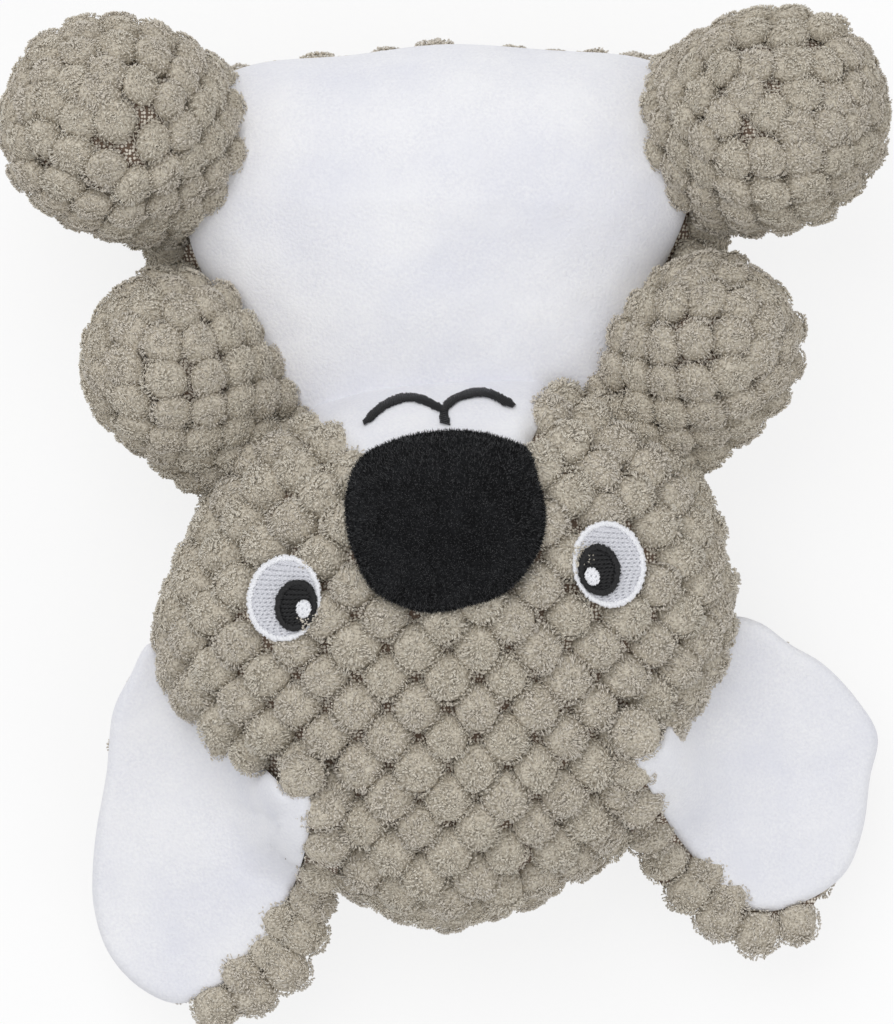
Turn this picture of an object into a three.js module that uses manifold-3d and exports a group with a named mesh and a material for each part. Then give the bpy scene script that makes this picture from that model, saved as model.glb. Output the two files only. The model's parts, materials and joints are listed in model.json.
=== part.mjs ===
// A stuffed animal toy with a squeaker in its belly, lying on its back with its face up.
// Millimetres, +Z up, the head towards -Y and the hind legs towards +Y.

import * as THREE from "three";
import { mergeVertices } from "three/addons/utils/BufferGeometryUtils.js";
import Module from "manifold-3d";

const wasm = await Module();
wasm.setup();

// Fabrics and clearances
const bobblePile = 5; // bobbled plush, bobbles included
const shortPile = 2; // smooth plush
const seatGap = 0.3; // between pieces that lie on each other
const stuffingGap = 0.8; // between a cover and its loose stuffing
const swingGap = 0.5; // round a piece that turns on its seam
const flatDepth = 0.5; // how deep the floor presses a stuffed form flat
const overrun = 5; // how far a cutting block stands past what it cuts
const bobblePitch = 14; // between the bobbles of a row, with the next row half a pitch on and aside
const bobbleRelief = 3; // how deep the plush sinks between its bobbles
const bobbleFlatHeight = 8; // below this the bobbles are pressed flat
const bobbleFlatMargin = 4; // round the nose and the eyes
const bodyFacetAllowance = 1.1; // keeps the finer facets of the bobbles inside the smooth form
const headFacetAllowance = 0.5;

// Body
const bodyWidth = 144;
const bodyLength = 132.5;
const bodyHeight = 62;
const bodySeamHeight = 27;
const crotchPlace = 112.5; // the Y of the end between the legs
const chestDrop = 16; // how much lower the chest is than the belly
const bellyInset = 9; // grey plush that wraps up round the belly panel

// Head
const headWidth = 136;
const headLength = 130;
const headHeight = 79;
const headSeamHeight = 35;
const chinPlace = 33.5; // the Y of the chin
const muzzleRise = 7; // how far the muzzle stands out of the face
const muzzleSpread = 26;

// Neck seam
const neckPlace = 24;
const neckHeight = 24;
const nodForward = 12;
const nodBack = 15;

// Nose, eyes and mouth
const noseWidth = 45;
const noseLength = 41;
const noseThickness = 4;
const noseEdge = 1.5; // thickness at its rim
const eyeWidth = 17;
const eyeLength = 20;
const pupilWidth = 9.7;
const pupilLength = 12;
const glintWidth = 3.4;
const glintLength = 4.3;
const stitchThickness = 1;
const mouthLineWidth = 2.8;

// Ears
const earWidth = 70;
const earLength = 50;
const earThickness = 6.5;
const earEdge = 3.5; // thickness at the rim
const earDroop = 13; // how far the tip hangs below the seam
const earCup = 5; // how far the rim is turned up
const earRoll = 9; // grey strip that rolls round the lining at the crown side
const earLiningMargin = 1.5;
const earRootMargin = 4; // from the head to the lining, which then clears it when the ear flaps up
const earFlapDown = 15;
const earFlapUp = 45;

// Arms
const armRadius = 23.3;
const armRootRadius = 18.5;
const armLength = 39; // shoulder to the middle of the paw

// Legs
const legRadius = 27.4;
const legRootRadius = 22;
const legLength = 41; // hip to the middle of the paw

// Swing of the limbs on their seams
const swingInward = 10;
const swingOutward = 30;
const sweepStep = 15; // degrees between the places at which moving shapes are kept apart

// Squeaker
const squeakerDiameter = 42;
const squeakerPlace = 72; // the Y of its middle
const squeakerFloor = 16; // the Z of its underside
const squeakerBaseHeight = 6;
const bellowsHeight = 15;
const bellowsFolds = 3;
const bellowsFoldDepth = 3;
const squeakerWall = 1.3;
const crownHeight = 5;
const whistleDiameter = 13;
const whistleBore = 8;
const whistleFlange = 17;
const whistleFlangeThickness = 1.5;
const reedThickness = 0.6;
const bellyPadMargin = 2; // how far the pad stands out past the squeaker

// Smoothness of the curved shapes
const bodySegments = 32;
const bobblesRound = 22; // round the body or the head
const stuffingSegments = 16;
const limbSegments = 16;
const squeakerSegments = 20;
const mouthLineSegments = 8;
const patchSegments = 24;

const bobbledGrey = new THREE.MeshStandardMaterial({ color: 0x98917f, roughness: 1, metalness: 0 });
const smoothWhite = new THREE.MeshStandardMaterial({ color: 0xe9e8ee, roughness: 0.95, metalness: 0 });
const noseBlack = new THREE.MeshStandardMaterial({ color: 0x1c1c1d, roughness: 0.9, metalness: 0 });
const threadBlack = new THREE.MeshStandardMaterial({ color: 0x151516, roughness: 0.6, metalness: 0 });
const threadWhite = new THREE.MeshStandardMaterial({ color: 0xdfe0e6, roughness: 0.6, metalness: 0 });
const fibrefill = new THREE.MeshStandardMaterial({ color: 0xf2f2f0, roughness: 1, metalness: 0 });
const softPlastic = new THREE.MeshStandardMaterial({ color: 0xe8e8e2, roughness: 0.45, metalness: 0 });
const hardPlastic = new THREE.MeshStandardMaterial({ color: 0xd8d8d4, roughness: 0.35, metalness: 0 });

const acrossAxis = new THREE.Vector3(1, 0, 0);
const alongAxis = new THREE.Vector3(0, 1, 0);
const upAxis = new THREE.Vector3(0, 0, 1);

// Solids and meshes

function toSolid(geometry) {
  const bare = geometry.clone();
  for (const name of Object.keys(bare.attributes)) {
    if (name !== "position") bare.deleteAttribute(name);
  }
  const merged = mergeVertices(bare, 1e-4);
  return new wasm.Manifold(
    new wasm.Mesh({
      numProp: 3,
      vertProperties: new Float32Array(merged.attributes.position.array),
      triVerts: new Uint32Array(merged.index.array),
    }),
  );
}

function toGeometry(solid) {
  const { vertProperties, triVerts } = solid.getMesh();
  const geometry = new THREE.BufferGeometry();
  geometry.setAttribute("position", new THREE.BufferAttribute(vertProperties, 3));
  geometry.setIndex(new THREE.BufferAttribute(triVerts, 1));
  return geometry;
}

// A group at its joint, whose pieces are made in the whole toy's frame.
function jointGroup(parent, name, pivot) {
  const group = new THREE.Group();
  group.name = name;
  parent.add(group);
  parent.updateWorldMatrix(true, false);
  group.position.copy(parent.worldToLocal(pivot.clone()));
  group.userData.pivot = pivot;
  return group;
}

function addPiece(group, name, solid, material) {
  const { x, y, z } = group.userData.pivot;
  const geometry = toGeometry(solid).translate(-x, -y, -z);
  geometry.computeVertexNormals();
  const mesh = new THREE.Mesh(geometry, material);
  mesh.name = name;
  group.add(mesh);
}

// Places on the way of a turning piece

function turnAbout(pivot, axis, degrees) {
  const away = new THREE.Matrix4().makeTranslation(pivot.x, pivot.y, pivot.z);
  const turn = new THREE.Matrix4().makeRotationAxis(axis, THREE.MathUtils.degToRad(degrees));
  const back = new THREE.Matrix4().makeTranslation(-pivot.x, -pivot.y, -pivot.z);
  return away.multiply(turn).multiply(back);
}

// Angles from low to high, with rest among them, no more than a step apart.
function sweptAngles(low, high) {
  const stepsDown = Math.ceil(-low / sweepStep);
  const stepsUp = Math.ceil(high / sweepStep);
  const down = Array.from({ length: stepsDown }, (_, i) => (low * (stepsDown - i)) / stepsDown);
  const rising = Array.from({ length: stepsUp }, (_, i) => (high * (i + 1)) / stepsUp);
  return [...down, 0, ...rising];
}

// A solid less a shape in each of the places that the matrices give it.
function clearOf(solid, shape, places) {
  let left = solid;
  for (const place of places) {
    left = left.subtract(toSolid(shape.clone().applyMatrix4(place)));
  }
  return left;
}

// Outlines

function smoothOutline(points, segments) {
  const curve = new THREE.CatmullRomCurve3(
    points.map(([x, y]) => new THREE.Vector3(x, y, 0)),
    true,
    "centripetal",
  );
  return curve.getSpacedPoints(segments).slice(0, segments);
}

// The outline, which runs anticlockwise, moved outward by a distance.
function grownOutline(outline, distance) {
  const count = outline.length;
  return outline.map((point, i) => {
    const before = outline[(i + count - 1) % count];
    const after = outline[(i + 1) % count];
    const run = after.clone().sub(before).normalize();
    return new THREE.Vector3(point.x + run.y * distance, point.y - run.x * distance, 0);
  });
}

function ellipseOutline([x, y], width, length, lean) {
  const ellipse = new THREE.EllipseCurve(
    x, y, width / 2, length / 2, 0, 2 * Math.PI, false, THREE.MathUtils.degToRad(lean),
  );
  return ellipse.getPoints(patchSegments).slice(0, patchSegments);
}

// The outline of a line of even width along a curve through the points.
function strokeOutline(points, width, segments) {
  const curve = new THREE.SplineCurve(points.map(([x, y]) => new THREE.Vector2(x, y)));
  const side = (i, sign) => {
    const at = curve.getPointAt(i / segments);
    const run = curve.getTangentAt(i / segments);
    return new THREE.Vector2(at.x + (sign * run.y * width) / 2, at.y - (sign * run.x * width) / 2);
  };
  const steps = Array.from({ length: segments + 1 }, (_, i) => i);
  return [...steps.map((i) => side(i, 1)), ...steps.reverse().map((i) => side(i, -1))];
}

// An upright block with the outline as its plan.
function uprightBlock(outline, low, high) {
  const shape = new THREE.Shape(outline.map(({ x, y }) => new THREE.Vector2(x, y)));
  const block = new THREE.ExtrudeGeometry(shape, { depth: high - low, bevelEnabled: false, steps: 1 });
  return toSolid(block.translate(0, 0, low));
}

// A closed body whose skin runs from one pole over rings of points to the other pole. The diagonals
// of its quads alternate, so that every second point is the top of a pyramid where the others are sunk.
function ringBody(lowPole, rings, highPole) {
  const count = rings[0].length;
  const points = [lowPole, ...rings.flat(), highPole];
  const last = points.length - 1;
  const faces = [];
  for (let i = 0; i < count; i++) {
    const next = (i + 1) % count;
    faces.push(0, 1 + next, 1 + i);
    faces.push(last, last - count + i, last - count + next);
    for (let r = 0; r < rings.length - 1; r++) {
      const low = 1 + r * count;
      const high = low + count;
      if ((r + i) % 2 === 0) {
        faces.push(low + i, low + next, high + i);
        faces.push(low + next, high + next, high + i);
      } else {
        faces.push(low + i, low + next, high + next);
        faces.push(low + i, high + next, high + i);
      }
    }
  }
  const geometry = new THREE.BufferGeometry().setFromPoints(points);
  geometry.setIndex(faces);
  return geometry;
}

// Stuffed forms: a plan outline at seam height, domed above and below like a pillow

// The skin of a form: its lowest point, its rings of points and its highest point.
function formSkin(form, segments, ringsBelow, ringsAbove, { side = 0, top = 0, bottom = 0 } = {}) {
  const rim = grownOutline(smoothOutline(form.outline, segments), side);
  const pole = (spot, height) => new THREE.Vector3(spot[0], spot[1], height);
  const ring = (spot, fullness, angle, heightAt) => {
    const spread = Math.cos(angle) ** (2 / fullness);
    const rise = Math.sin(angle) ** (2 / fullness);
    return rim.map(({ x, y }) => {
      const px = spot[0] + (x - spot[0]) * spread;
      const py = spot[1] + (y - spot[1]) * spread;
      return new THREE.Vector3(px, py, form.seam + rise * heightAt(px, py));
    });
  };
  const below = () => -(form.seam + form.sink + bottom);
  const above = (x, y) => form.height - form.seam + top + form.relief(x, y);
  const rings = [];
  for (let i = 1; i < ringsBelow; i++) {
    const angle = (Math.PI / 2) * (1 - i / ringsBelow);
    rings.push(ring(form.lowSpot, form.lowFullness, angle, below));
  }
  for (let i = 0; i < ringsAbove; i++) {
    const angle = (Math.PI / 2) * (i / ringsAbove);
    rings.push(ring(form.highSpot, form.highFullness, angle, above));
  }
  return {
    lowPole: pole(form.lowSpot, form.seam + below()),
    rings,
    highPole: pole(form.highSpot, form.seam + above(...form.highSpot)),
  };
}

function stuffedForm(form, segments, growth) {
  const { lowPole, rings, highPole } = formSkin(form, segments, form.ringsBelow, form.ringsAbove, growth);
  return ringBody(lowPole, rings, highPole);
}

const grownAll = (distance) => ({ side: distance, top: distance, bottom: distance });

const quarterArc = (reach, rise) => (Math.PI / 2) * Math.sqrt((reach ** 2 + rise ** 2) / 2);
const bobbleRows = (length) => Math.round(length / (bobblePitch / 2));

// Rings of points that are crests or sunk. The rule is told whether a point is an even one of the
// diamond pattern, and its place and row.
function bobbledRings(crests, valleys, isCrest) {
  return crests.map((ring, row) =>
    ring.map((crest, i) => (isCrest((row + i) % 2 === 0, crest, row) ? crest : valleys[row][i])),
  );
}

// A stuffed form in bobbled plush, which is flat under the form and where a patch is sewn on.
function bobbledForm(form) {
  const rowsBelow = bobbleRows(quarterArc(form.reach, form.seam));
  const rowsAbove = bobbleRows(quarterArc(form.reach, form.height - form.seam));
  const skin = (depth) => {
    const inward = -form.facetAllowance - depth;
    return formSkin(form, 2 * bobblesRound, rowsBelow, rowsAbove, { side: inward, top: inward, bottom: -depth });
  };
  const crests = skin(0);
  const isUnderPatch = ({ x, y }) =>
    form.patches.some(({ spot, reach }) => Math.hypot(x - spot[0], y - spot[1]) < reach);
  const isCrest = (isEven, point) => isEven || point.z < bobbleFlatHeight || isUnderPatch(point);
  const rings = bobbledRings(crests.rings, skin(bobbleRelief).rings, isCrest);
  return ringBody(crests.lowPole, rings, crests.highPole);
}

const floorBlock = toSolid(
  new THREE.BoxGeometry(2 * bodyWidth, 2 * (bodyLength + headLength), overrun).translate(0, 0, -overrun / 2),
);

// The form of the body

// Plan of the body from the crotch round its left side: shares of half the width and of the length.
const bodyOutlineShares = [
  [0, 0], [-0.33, 0.02], [-0.67, 0.04], [-0.87, 0.1], [-0.98, 0.215], [-1, 0.36],
  [-0.92, 0.48], [-0.8, 0.6], [-0.68, 0.75], [-0.54, 0.88], [-0.31, 0.975],
  [0, 1], [0.31, 0.975], [0.54, 0.88], [0.66, 0.73], [0.74, 0.575],
  [0.84, 0.455], [0.93, 0.335], [0.97, 0.215], [0.875, 0.085], [0.67, 0.028], [0.33, 0.01],
];
const bellyTopShares = [0, 0.27];
const bodyFullness = 2.4;
const bodyLowFullness = 3;
const chestDropStartShare = 0.3;

const bodySpot = (across, down) => [(across * bodyWidth) / 2, crotchPlace - down * bodyLength];

function chestRelief(x, y) {
  const down = (crotchPlace - y) / bodyLength;
  const slope = (down - chestDropStartShare) / (1 - chestDropStartShare);
  return -chestDrop * Math.max(0, slope);
}

const bodyForm = {
  outline: bodyOutlineShares.map(([x, y]) => bodySpot(x, y)),
  height: bodyHeight,
  seam: bodySeamHeight,
  sink: flatDepth,
  highSpot: bodySpot(...bellyTopShares),
  lowSpot: bodySpot(...bellyTopShares),
  highFullness: bodyFullness,
  lowFullness: bodyLowFullness,
  ringsAbove: 6,
  ringsBelow: 5,
  relief: chestRelief,
  reach: bodyWidth / 2,
  facetAllowance: bodyFacetAllowance,
  patches: [],
};

// The form of the head

// Plan of the head from the chin round its left side: shares of half the width and of the length.
const headOutlineShares = [
  [-0.03, 0.005], [-0.23, 0.015], [-0.5, 0.06], [-0.735, 0.12], [-0.905, 0.3], [-1, 0.41],
  [-1, 0.535], [-0.88, 0.65], [-0.68, 0.79], [-0.4, 0.92], [-0.03, 1], [0.38, 0.94],
  [0.63, 0.84], [0.84, 0.65], [0.97, 0.505], [0.99, 0.405], [0.94, 0.265], [0.84, 0.14],
  [0.68, 0.06], [0.455, 0.01], [0.16, 0],
];
const faceTopShares = [0, 0.32];
const headBackShares = [0, 0.45];
const headFullness = 2.5;
const headLowFullness = 2.4;
const noseSpotShares = [-0.007, 0.265];

const headSpot = (across, down) => [(across * headWidth) / 2, chinPlace - down * headLength];

const noseSpot = headSpot(...noseSpotShares);

function muzzleRelief(x, y) {
  const away = Math.hypot(x - noseSpot[0], y - noseSpot[1]) / muzzleSpread;
  return muzzleRise * Math.exp(-away * away);
}

// Places of the eyes: shares of half the head's width and of its length, and lean in degrees.
const eyes = [
  { side: "left", whiteShares: [-0.547, 0.4], pupilShares: [-0.506, 0.412], glintShares: [-0.479, 0.418], lean: -12 },
  { side: "right", whiteShares: [0.543, 0.34], pupilShares: [0.51, 0.35], glintShares: [0.485, 0.361], lean: 12 },
];

const headForm = {
  outline: headOutlineShares.map(([x, y]) => headSpot(x, y)),
  height: headHeight,
  seam: headSeamHeight,
  sink: flatDepth,
  highSpot: headSpot(...faceTopShares),
  lowSpot: headSpot(...headBackShares),
  highFullness: headFullness,
  lowFullness: headLowFullness,
  ringsAbove: 8,
  ringsBelow: 5,
  relief: muzzleRelief,
  reach: headWidth / 2,
  facetAllowance: headFacetAllowance,
  patches: [
    { spot: noseSpot, reach: noseWidth / 2 + bobbleFlatMargin },
    ...eyes.map(({ whiteShares }) => ({ spot: headSpot(...whiteShares), reach: eyeLength / 2 + bobbleFlatMargin })),
  ],
};

const headTop = headHeight + muzzleRise + noseThickness + overrun;
const neck = new THREE.Vector3(0, neckPlace, neckHeight);
const bodyObstacle = stuffedForm(bodyForm, bodySegments, grownAll(swingGap));
const headObstacle = stuffedForm(headForm, bodySegments, grownAll(swingGap));
const noddingHead = stuffedForm(headForm, bodySegments, grownAll(swingGap + headFacetAllowance));
const nodPlaces = sweptAngles(-nodForward, nodBack).map((angle) => turnAbout(neck, acrossAxis, angle));

const toy = new THREE.Group();
const body = jointGroup(toy, "body", new THREE.Vector3());
const head = jointGroup(body, "head", neck);

// Body

const bodyCavityGrowth = { side: -bobblePile, top: -shortPile, bottom: -bobblePile };
const bodyStuffingGrowth = {
  side: -bobblePile - stuffingGap,
  top: -shortPile - stuffingGap,
  bottom: -bobblePile - stuffingGap,
};

function makeBodyPanels() {
  const outer = toSolid(stuffedForm(bodyForm, bodySegments)).subtract(floorBlock);
  const cavity = toSolid(stuffedForm(bodyForm, bodySegments, bodyCavityGrowth));
  const bobbled = toSolid(bobbledForm(bodyForm)).subtract(floorBlock);
  const [smoothSkin, bobbledSkin] = [outer, bobbled].map((form) =>
    clearOf(form.subtract(cavity), noddingHead, nodPlaces),
  );
  const inset = grownOutline(smoothOutline(bodyForm.outline, bodySegments), -bellyInset);
  // The belly panel runs on round the end between the legs, so there its plan has no inset.
  const bellyPlan = inset.map(({ x, y }) => {
    const atCrotch = y > crotchPlace - 2 * bellyInset;
    return new THREE.Vector3(x, atCrotch ? y + 2 * bellyInset : y, 0);
  });
  const high = bodyHeight + overrun;
  const bellyBlock = uprightBlock(bellyPlan, bodySeamHeight + seatGap, high);
  const roomForBelly = uprightBlock(grownOutline(bellyPlan, seatGap), bodySeamHeight, high);
  addPiece(body, "belly_panel", smoothSkin.intersect(bellyBlock), smoothWhite);
  addPiece(body, "back_panel", bobbledSkin.subtract(roomForBelly), bobbledGrey);
}

const squeakerSpot = [0, squeakerPlace];
const squeakerRadius = squeakerDiameter / 2;
const bellyPadRadius = squeakerRadius + bellyPadMargin;
const bellowsFoot = squeakerFloor + squeakerBaseHeight + seatGap;
const crownFoot = bellowsFoot + bellowsHeight + seatGap;
const crownTop = crownFoot + crownHeight;

const roundPlan = (radius) => ellipseOutline(squeakerSpot, 2 * radius, 2 * radius, 0);

const press = jointGroup(body, "belly_press", new THREE.Vector3(...squeakerSpot, crownFoot));

function makeBodyStuffing() {
  const form = toSolid(stuffedForm(bodyForm, stuffingSegments, bodyStuffingGrowth));
  const well = uprightBlock(roundPlan(bellyPadRadius + seatGap), squeakerFloor - seatGap, bodyHeight + overrun);
  const pad = uprightBlock(roundPlan(bellyPadRadius), crownTop + seatGap, bodyHeight + overrun);
  addPiece(body, "body_stuffing", clearOf(form.subtract(well), noddingHead, nodPlaces), fibrefill);
  addPiece(press, "belly_pad", form.intersect(pad), fibrefill);
}

// Squeaker

// A round piece about the squeaker's upright axis from a profile of radius and height.
function squeakerPiece(profile) {
  const points = profile.map(([radius, height]) => new THREE.Vector2(radius, height));
  const round = new THREE.LatheGeometry(points, squeakerSegments);
  return toSolid(round.rotateX(Math.PI / 2).translate(...squeakerSpot, 0));
}

function makeSqueakerBase() {
  const hole = whistleDiameter / 2 + seatGap;
  const top = squeakerFloor + squeakerBaseHeight;
  const base = squeakerPiece([
    [hole, squeakerFloor],
    [squeakerRadius, squeakerFloor],
    [squeakerRadius, top],
    [hole, top],
    [hole, squeakerFloor],
  ]);
  addPiece(body, "squeaker_base", base, softPlastic);
}

function makeSqueakerWhistle() {
  const bore = whistleBore / 2;
  const stem = whistleDiameter / 2;
  const flangeFoot = squeakerFloor + squeakerBaseHeight + seatGap;
  const top = flangeFoot + whistleFlangeThickness;
  const whistle = squeakerPiece([
    [bore, squeakerFloor],
    [stem, squeakerFloor],
    [stem, flangeFoot],
    [whistleFlange / 2, flangeFoot],
    [whistleFlange / 2, top],
    [bore, top],
    [bore, squeakerFloor],
  ]);
  addPiece(body, "squeaker_whistle", whistle, hardPlastic);
}

function makeSqueakerReed() {
  const reed = new THREE.BoxGeometry(whistleBore - 2 * seatGap, reedThickness, squeakerBaseHeight);
  reed.translate(...squeakerSpot, squeakerFloor + squeakerBaseHeight / 2);
  addPiece(body, "squeaker_reed", toSolid(reed), hardPlastic);
}

function makeSqueakerBellows() {
  const turns = 2 * bellowsFolds;
  const wall = Array.from({ length: turns + 1 }, (_, i) => [
    squeakerRadius - (i % 2) * bellowsFoldDepth,
    bellowsFoot + (i * bellowsHeight) / turns,
  ]);
  const inside = wall.map(([radius, height]) => [radius - squeakerWall, height]).reverse();
  addPiece(body, "squeaker_bellows", squeakerPiece([...wall, ...inside, wall[0]]), softPlastic);
}

function makeSqueakerCrown() {
  const shoulder = crownFoot + crownHeight / 2;
  const curveShare = 0.6;
  const crown = squeakerPiece([
    [squeakerRadius - squeakerWall, crownFoot],
    [squeakerRadius, crownFoot],
    [squeakerRadius, shoulder],
    [curveShare * squeakerRadius, crownTop],
    [0, crownTop],
    [0, crownTop - squeakerWall],
    [curveShare * squeakerRadius, crownTop - squeakerWall],
    [squeakerRadius - squeakerWall, shoulder - squeakerWall / 2],
    [squeakerRadius - squeakerWall, crownFoot],
  ]);
  addPiece(press, "squeaker_crown", crown, softPlastic);
}

// Head

// Plan of the white wedge between the cheeks: shares of half the head's width and of its length.
const muzzlePatchShares = [
  [-0.32, 0.165], [0.27, 0.15], [0.295, 0.096], [0.355, 0.035], [0.485, -0.09],
  [-0.735, -0.09], [-0.53, 0.065], [-0.37, 0.12],
];

function makeHeadPanels() {
  const outer = toSolid(stuffedForm(headForm, bodySegments)).subtract(floorBlock);
  const bobbled = toSolid(bobbledForm(headForm)).subtract(floorBlock);
  const skin = bobbled.subtract(toSolid(stuffedForm(headForm, bodySegments, grownAll(-bobblePile))));
  const thinSkin = outer.subtract(toSolid(stuffedForm(headForm, bodySegments, grownAll(-shortPile))));
  const wedge = muzzlePatchShares.map(([x, y]) => new THREE.Vector3(...headSpot(x, y), 0));
  const plan = grownOutline(smoothOutline(headForm.outline, bodySegments), overrun);
  const frontFoot = headSeamHeight + seatGap;
  const front = skin.intersect(uprightBlock(plan, frontFoot, headTop));
  const back = skin.subtract(uprightBlock(plan, headSeamHeight, headTop));
  const patch = thinSkin.intersect(uprightBlock(wedge, frontFoot, headTop));
  const roomForPatch = uprightBlock(grownOutline(wedge, seatGap), headSeamHeight, headTop);
  addPiece(head, "head_front_panel", front.subtract(roomForPatch), bobbledGrey);
  addPiece(head, "head_back_panel", back, bobbledGrey);
  addPiece(head, "muzzle_patch", patch, smoothWhite);
  const stuffing = stuffedForm(headForm, stuffingSegments, grownAll(-bobblePile - stuffingGap));
  addPiece(head, "head_stuffing", toSolid(stuffing), fibrefill);
}

// What lies between two heights over the skin of the head.
function overHead(low, high) {
  const shell = toSolid(stuffedForm(headForm, bodySegments, grownAll(high)));
  return shell.subtract(toSolid(stuffedForm(headForm, bodySegments, grownAll(low))));
}

// Plan of the nose: shares of half its width and of half its length.
const noseOutlineShares = [
  [-0.06, 1], [-0.45, 0.92], [-0.84, 0.71], [-0.97, 0.42], [-1, 0.1], [-0.93, -0.3],
  [-0.72, -0.74], [-0.45, -0.92], [-0.15, -1], [0.25, -0.92], [0.6, -0.78], [0.84, -0.5],
  [0.98, -0.2], [1, 0.15], [0.93, 0.48], [0.83, 0.8], [0.55, 0.93], [0.25, 1],
];

const noseRings = 4;

const face = new THREE.Mesh(stuffedForm(headForm, bodySegments));

function faceHeight(x, y) {
  const fromAbove = new THREE.Raycaster(new THREE.Vector3(x, y, headTop), upAxis.clone().negate());
  return fromAbove.intersectObject(face)[0].point.z;
}

// A padded patch that domes up from its rim and follows the face below.
function makeNose() {
  const points = noseOutlineShares.map(([x, y]) => [
    noseSpot[0] + (x * noseWidth) / 2,
    noseSpot[1] + (y * noseLength) / 2,
  ]);
  const outline = smoothOutline(points, patchSegments);
  const place = (x, y, height) => new THREE.Vector3(x, y, faceHeight(x, y) + height);
  const ring = (spread, height) =>
    outline.map(({ x, y }) => {
      const px = noseSpot[0] + (x - noseSpot[0]) * spread;
      const py = noseSpot[1] + (y - noseSpot[1]) * spread;
      return place(px, py, height);
    });
  const rings = [ring(1, -noseThickness)];
  for (let i = 0; i < noseRings; i++) {
    const angle = (Math.PI / 2) * (i / noseRings);
    rings.push(ring(Math.cos(angle), noseEdge + (noseThickness - noseEdge) * Math.sin(angle)));
  }
  const padded = ringBody(place(...noseSpot, -noseThickness), rings, place(...noseSpot, noseThickness));
  const seat = toSolid(stuffedForm(headForm, bodySegments, grownAll(seatGap)));
  addPiece(head, "nose", toSolid(padded).subtract(seat), noseBlack);
}

function makeEye({ side, whiteShares, pupilShares, glintShares, lean }) {
  const layers = [
    { name: "white", at: whiteShares, width: eyeWidth, length: eyeLength, material: threadWhite },
    { name: "pupil", at: pupilShares, width: pupilWidth, length: pupilLength, material: threadBlack },
    { name: "glint", at: glintShares, width: glintWidth, length: glintLength, material: threadWhite },
  ];
  layers.forEach(({ name, at, width, length, material }, level) => {
    const low = seatGap + level * (stitchThickness + seatGap);
    const outline = ellipseOutline(headSpot(...at), width, length, lean);
    const block = uprightBlock(outline, headSeamHeight, headTop);
    addPiece(head, `eye_${side}_${name}`, overHead(low, low + stitchThickness).intersect(block), material);
  });
}

// Lines of the mouth: shares of half the head's width and of its length.
const mouthLineShares = [
  [[-0.28, 0.09], [-0.2, 0.055], [-0.11, 0.045], [-0.005, 0.07]],
  [[-0.02, 0.068], [0.04, 0.044], [0.13, 0.036], [0.23, 0.062]],
  [[-0.012, 0.064], [-0.008, 0.085], [-0.006, 0.096]],
];

function makeMouth() {
  const blocks = mouthLineShares.map((line) => {
    const points = line.map(([x, y]) => headSpot(x, y));
    return uprightBlock(strokeOutline(points, mouthLineWidth, mouthLineSegments), headSeamHeight, headTop);
  });
  const plan = blocks.reduce((all, block) => all.add(block));
  const lines = overHead(seatGap, seatGap + stitchThickness).intersect(plan);
  addPiece(head, "mouth_stitching", lines, threadBlack);
}

// Ears

// The ends of each ear's seam as shares of half the head's width and of its length, and the plan
// of the ear from the cheek end of the seam round its tip: shares of its width and of its length.
const ears = [
  {
    side: "left",
    seamShares: [[-1.01, 0.49], [-0.41, 0.92]],
    planShares: [
      [0, 0], [0.1, 0.35], [0.26, 0.57], [0.475, 0.88], [0.6, 1], [0.75, 1.07], [0.91, 1.05],
      [1.06, 0.97], [1.18, 0.8], [1.21, 0.57], [1.2, 0.38], [1.09, 0.12], [0.95, -0.06], [0.5, -0.06],
    ],
  },
  {
    side: "right",
    seamShares: [[0.985, 0.44], [0.65, 0.88]],
    planShares: [
      [0.06, 0], [0.03, 0.15], [0.06, 0.34], [0.08, 0.52], [0.15, 0.73], [0.25, 0.88], [0.39, 0.92],
      [0.56, 0.98], [0.75, 1], [0.92, 0.96], [1.04, 0.8], [1.09, 0.56], [1.05, 0.36], [0.96, 0.13],
      [0.88, -0.04], [0.45, -0.06],
    ],
  },
];
const earMiddleShares = [0.1, 0.48]; // of the ear's width and length, from the middle of its seam
const earRings = 4;
const earSeatHeight = headSeamHeight - earCup; // its cupped rim then meets the seam of the head

function earFrame({ seamShares }) {
  const [start, end] = seamShares.map(([x, y]) => new THREE.Vector3(...headSpot(x, y), earSeatHeight));
  const middle = start.clone().add(end).multiplyScalar(0.5);
  const alongSeam = end.clone().sub(start).normalize();
  const outward = new THREE.Vector3(alongSeam.y, -alongSeam.x, 0);
  if (outward.x * middle.x < 0) outward.negate();
  // The ear turns on a line that touches the head where it stands out furthest.
  const rim = smoothOutline(headForm.outline, bodySegments);
  const reach = Math.max(...rim.map((point) => point.sub(middle).dot(outward)));
  const hinge = middle.clone().addScaledVector(outward, reach).setZ(headSeamHeight);
  return { middle, alongSeam, outward, hinge };
}

// The plan of the ear in the toy's frame, running anticlockwise.
function earOutline({ planShares }, { middle, alongSeam, outward }) {
  const points = planShares.map(([u, v]) => {
    const at = middle.clone().addScaledVector(alongSeam, (u - 0.5) * earWidth);
    at.addScaledVector(outward, v * earLength);
    return [at.x, at.y];
  });
  const outline = smoothOutline(points, patchSegments);
  return THREE.ShapeUtils.area(outline) < 0 ? outline.reverse() : outline;
}

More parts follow.
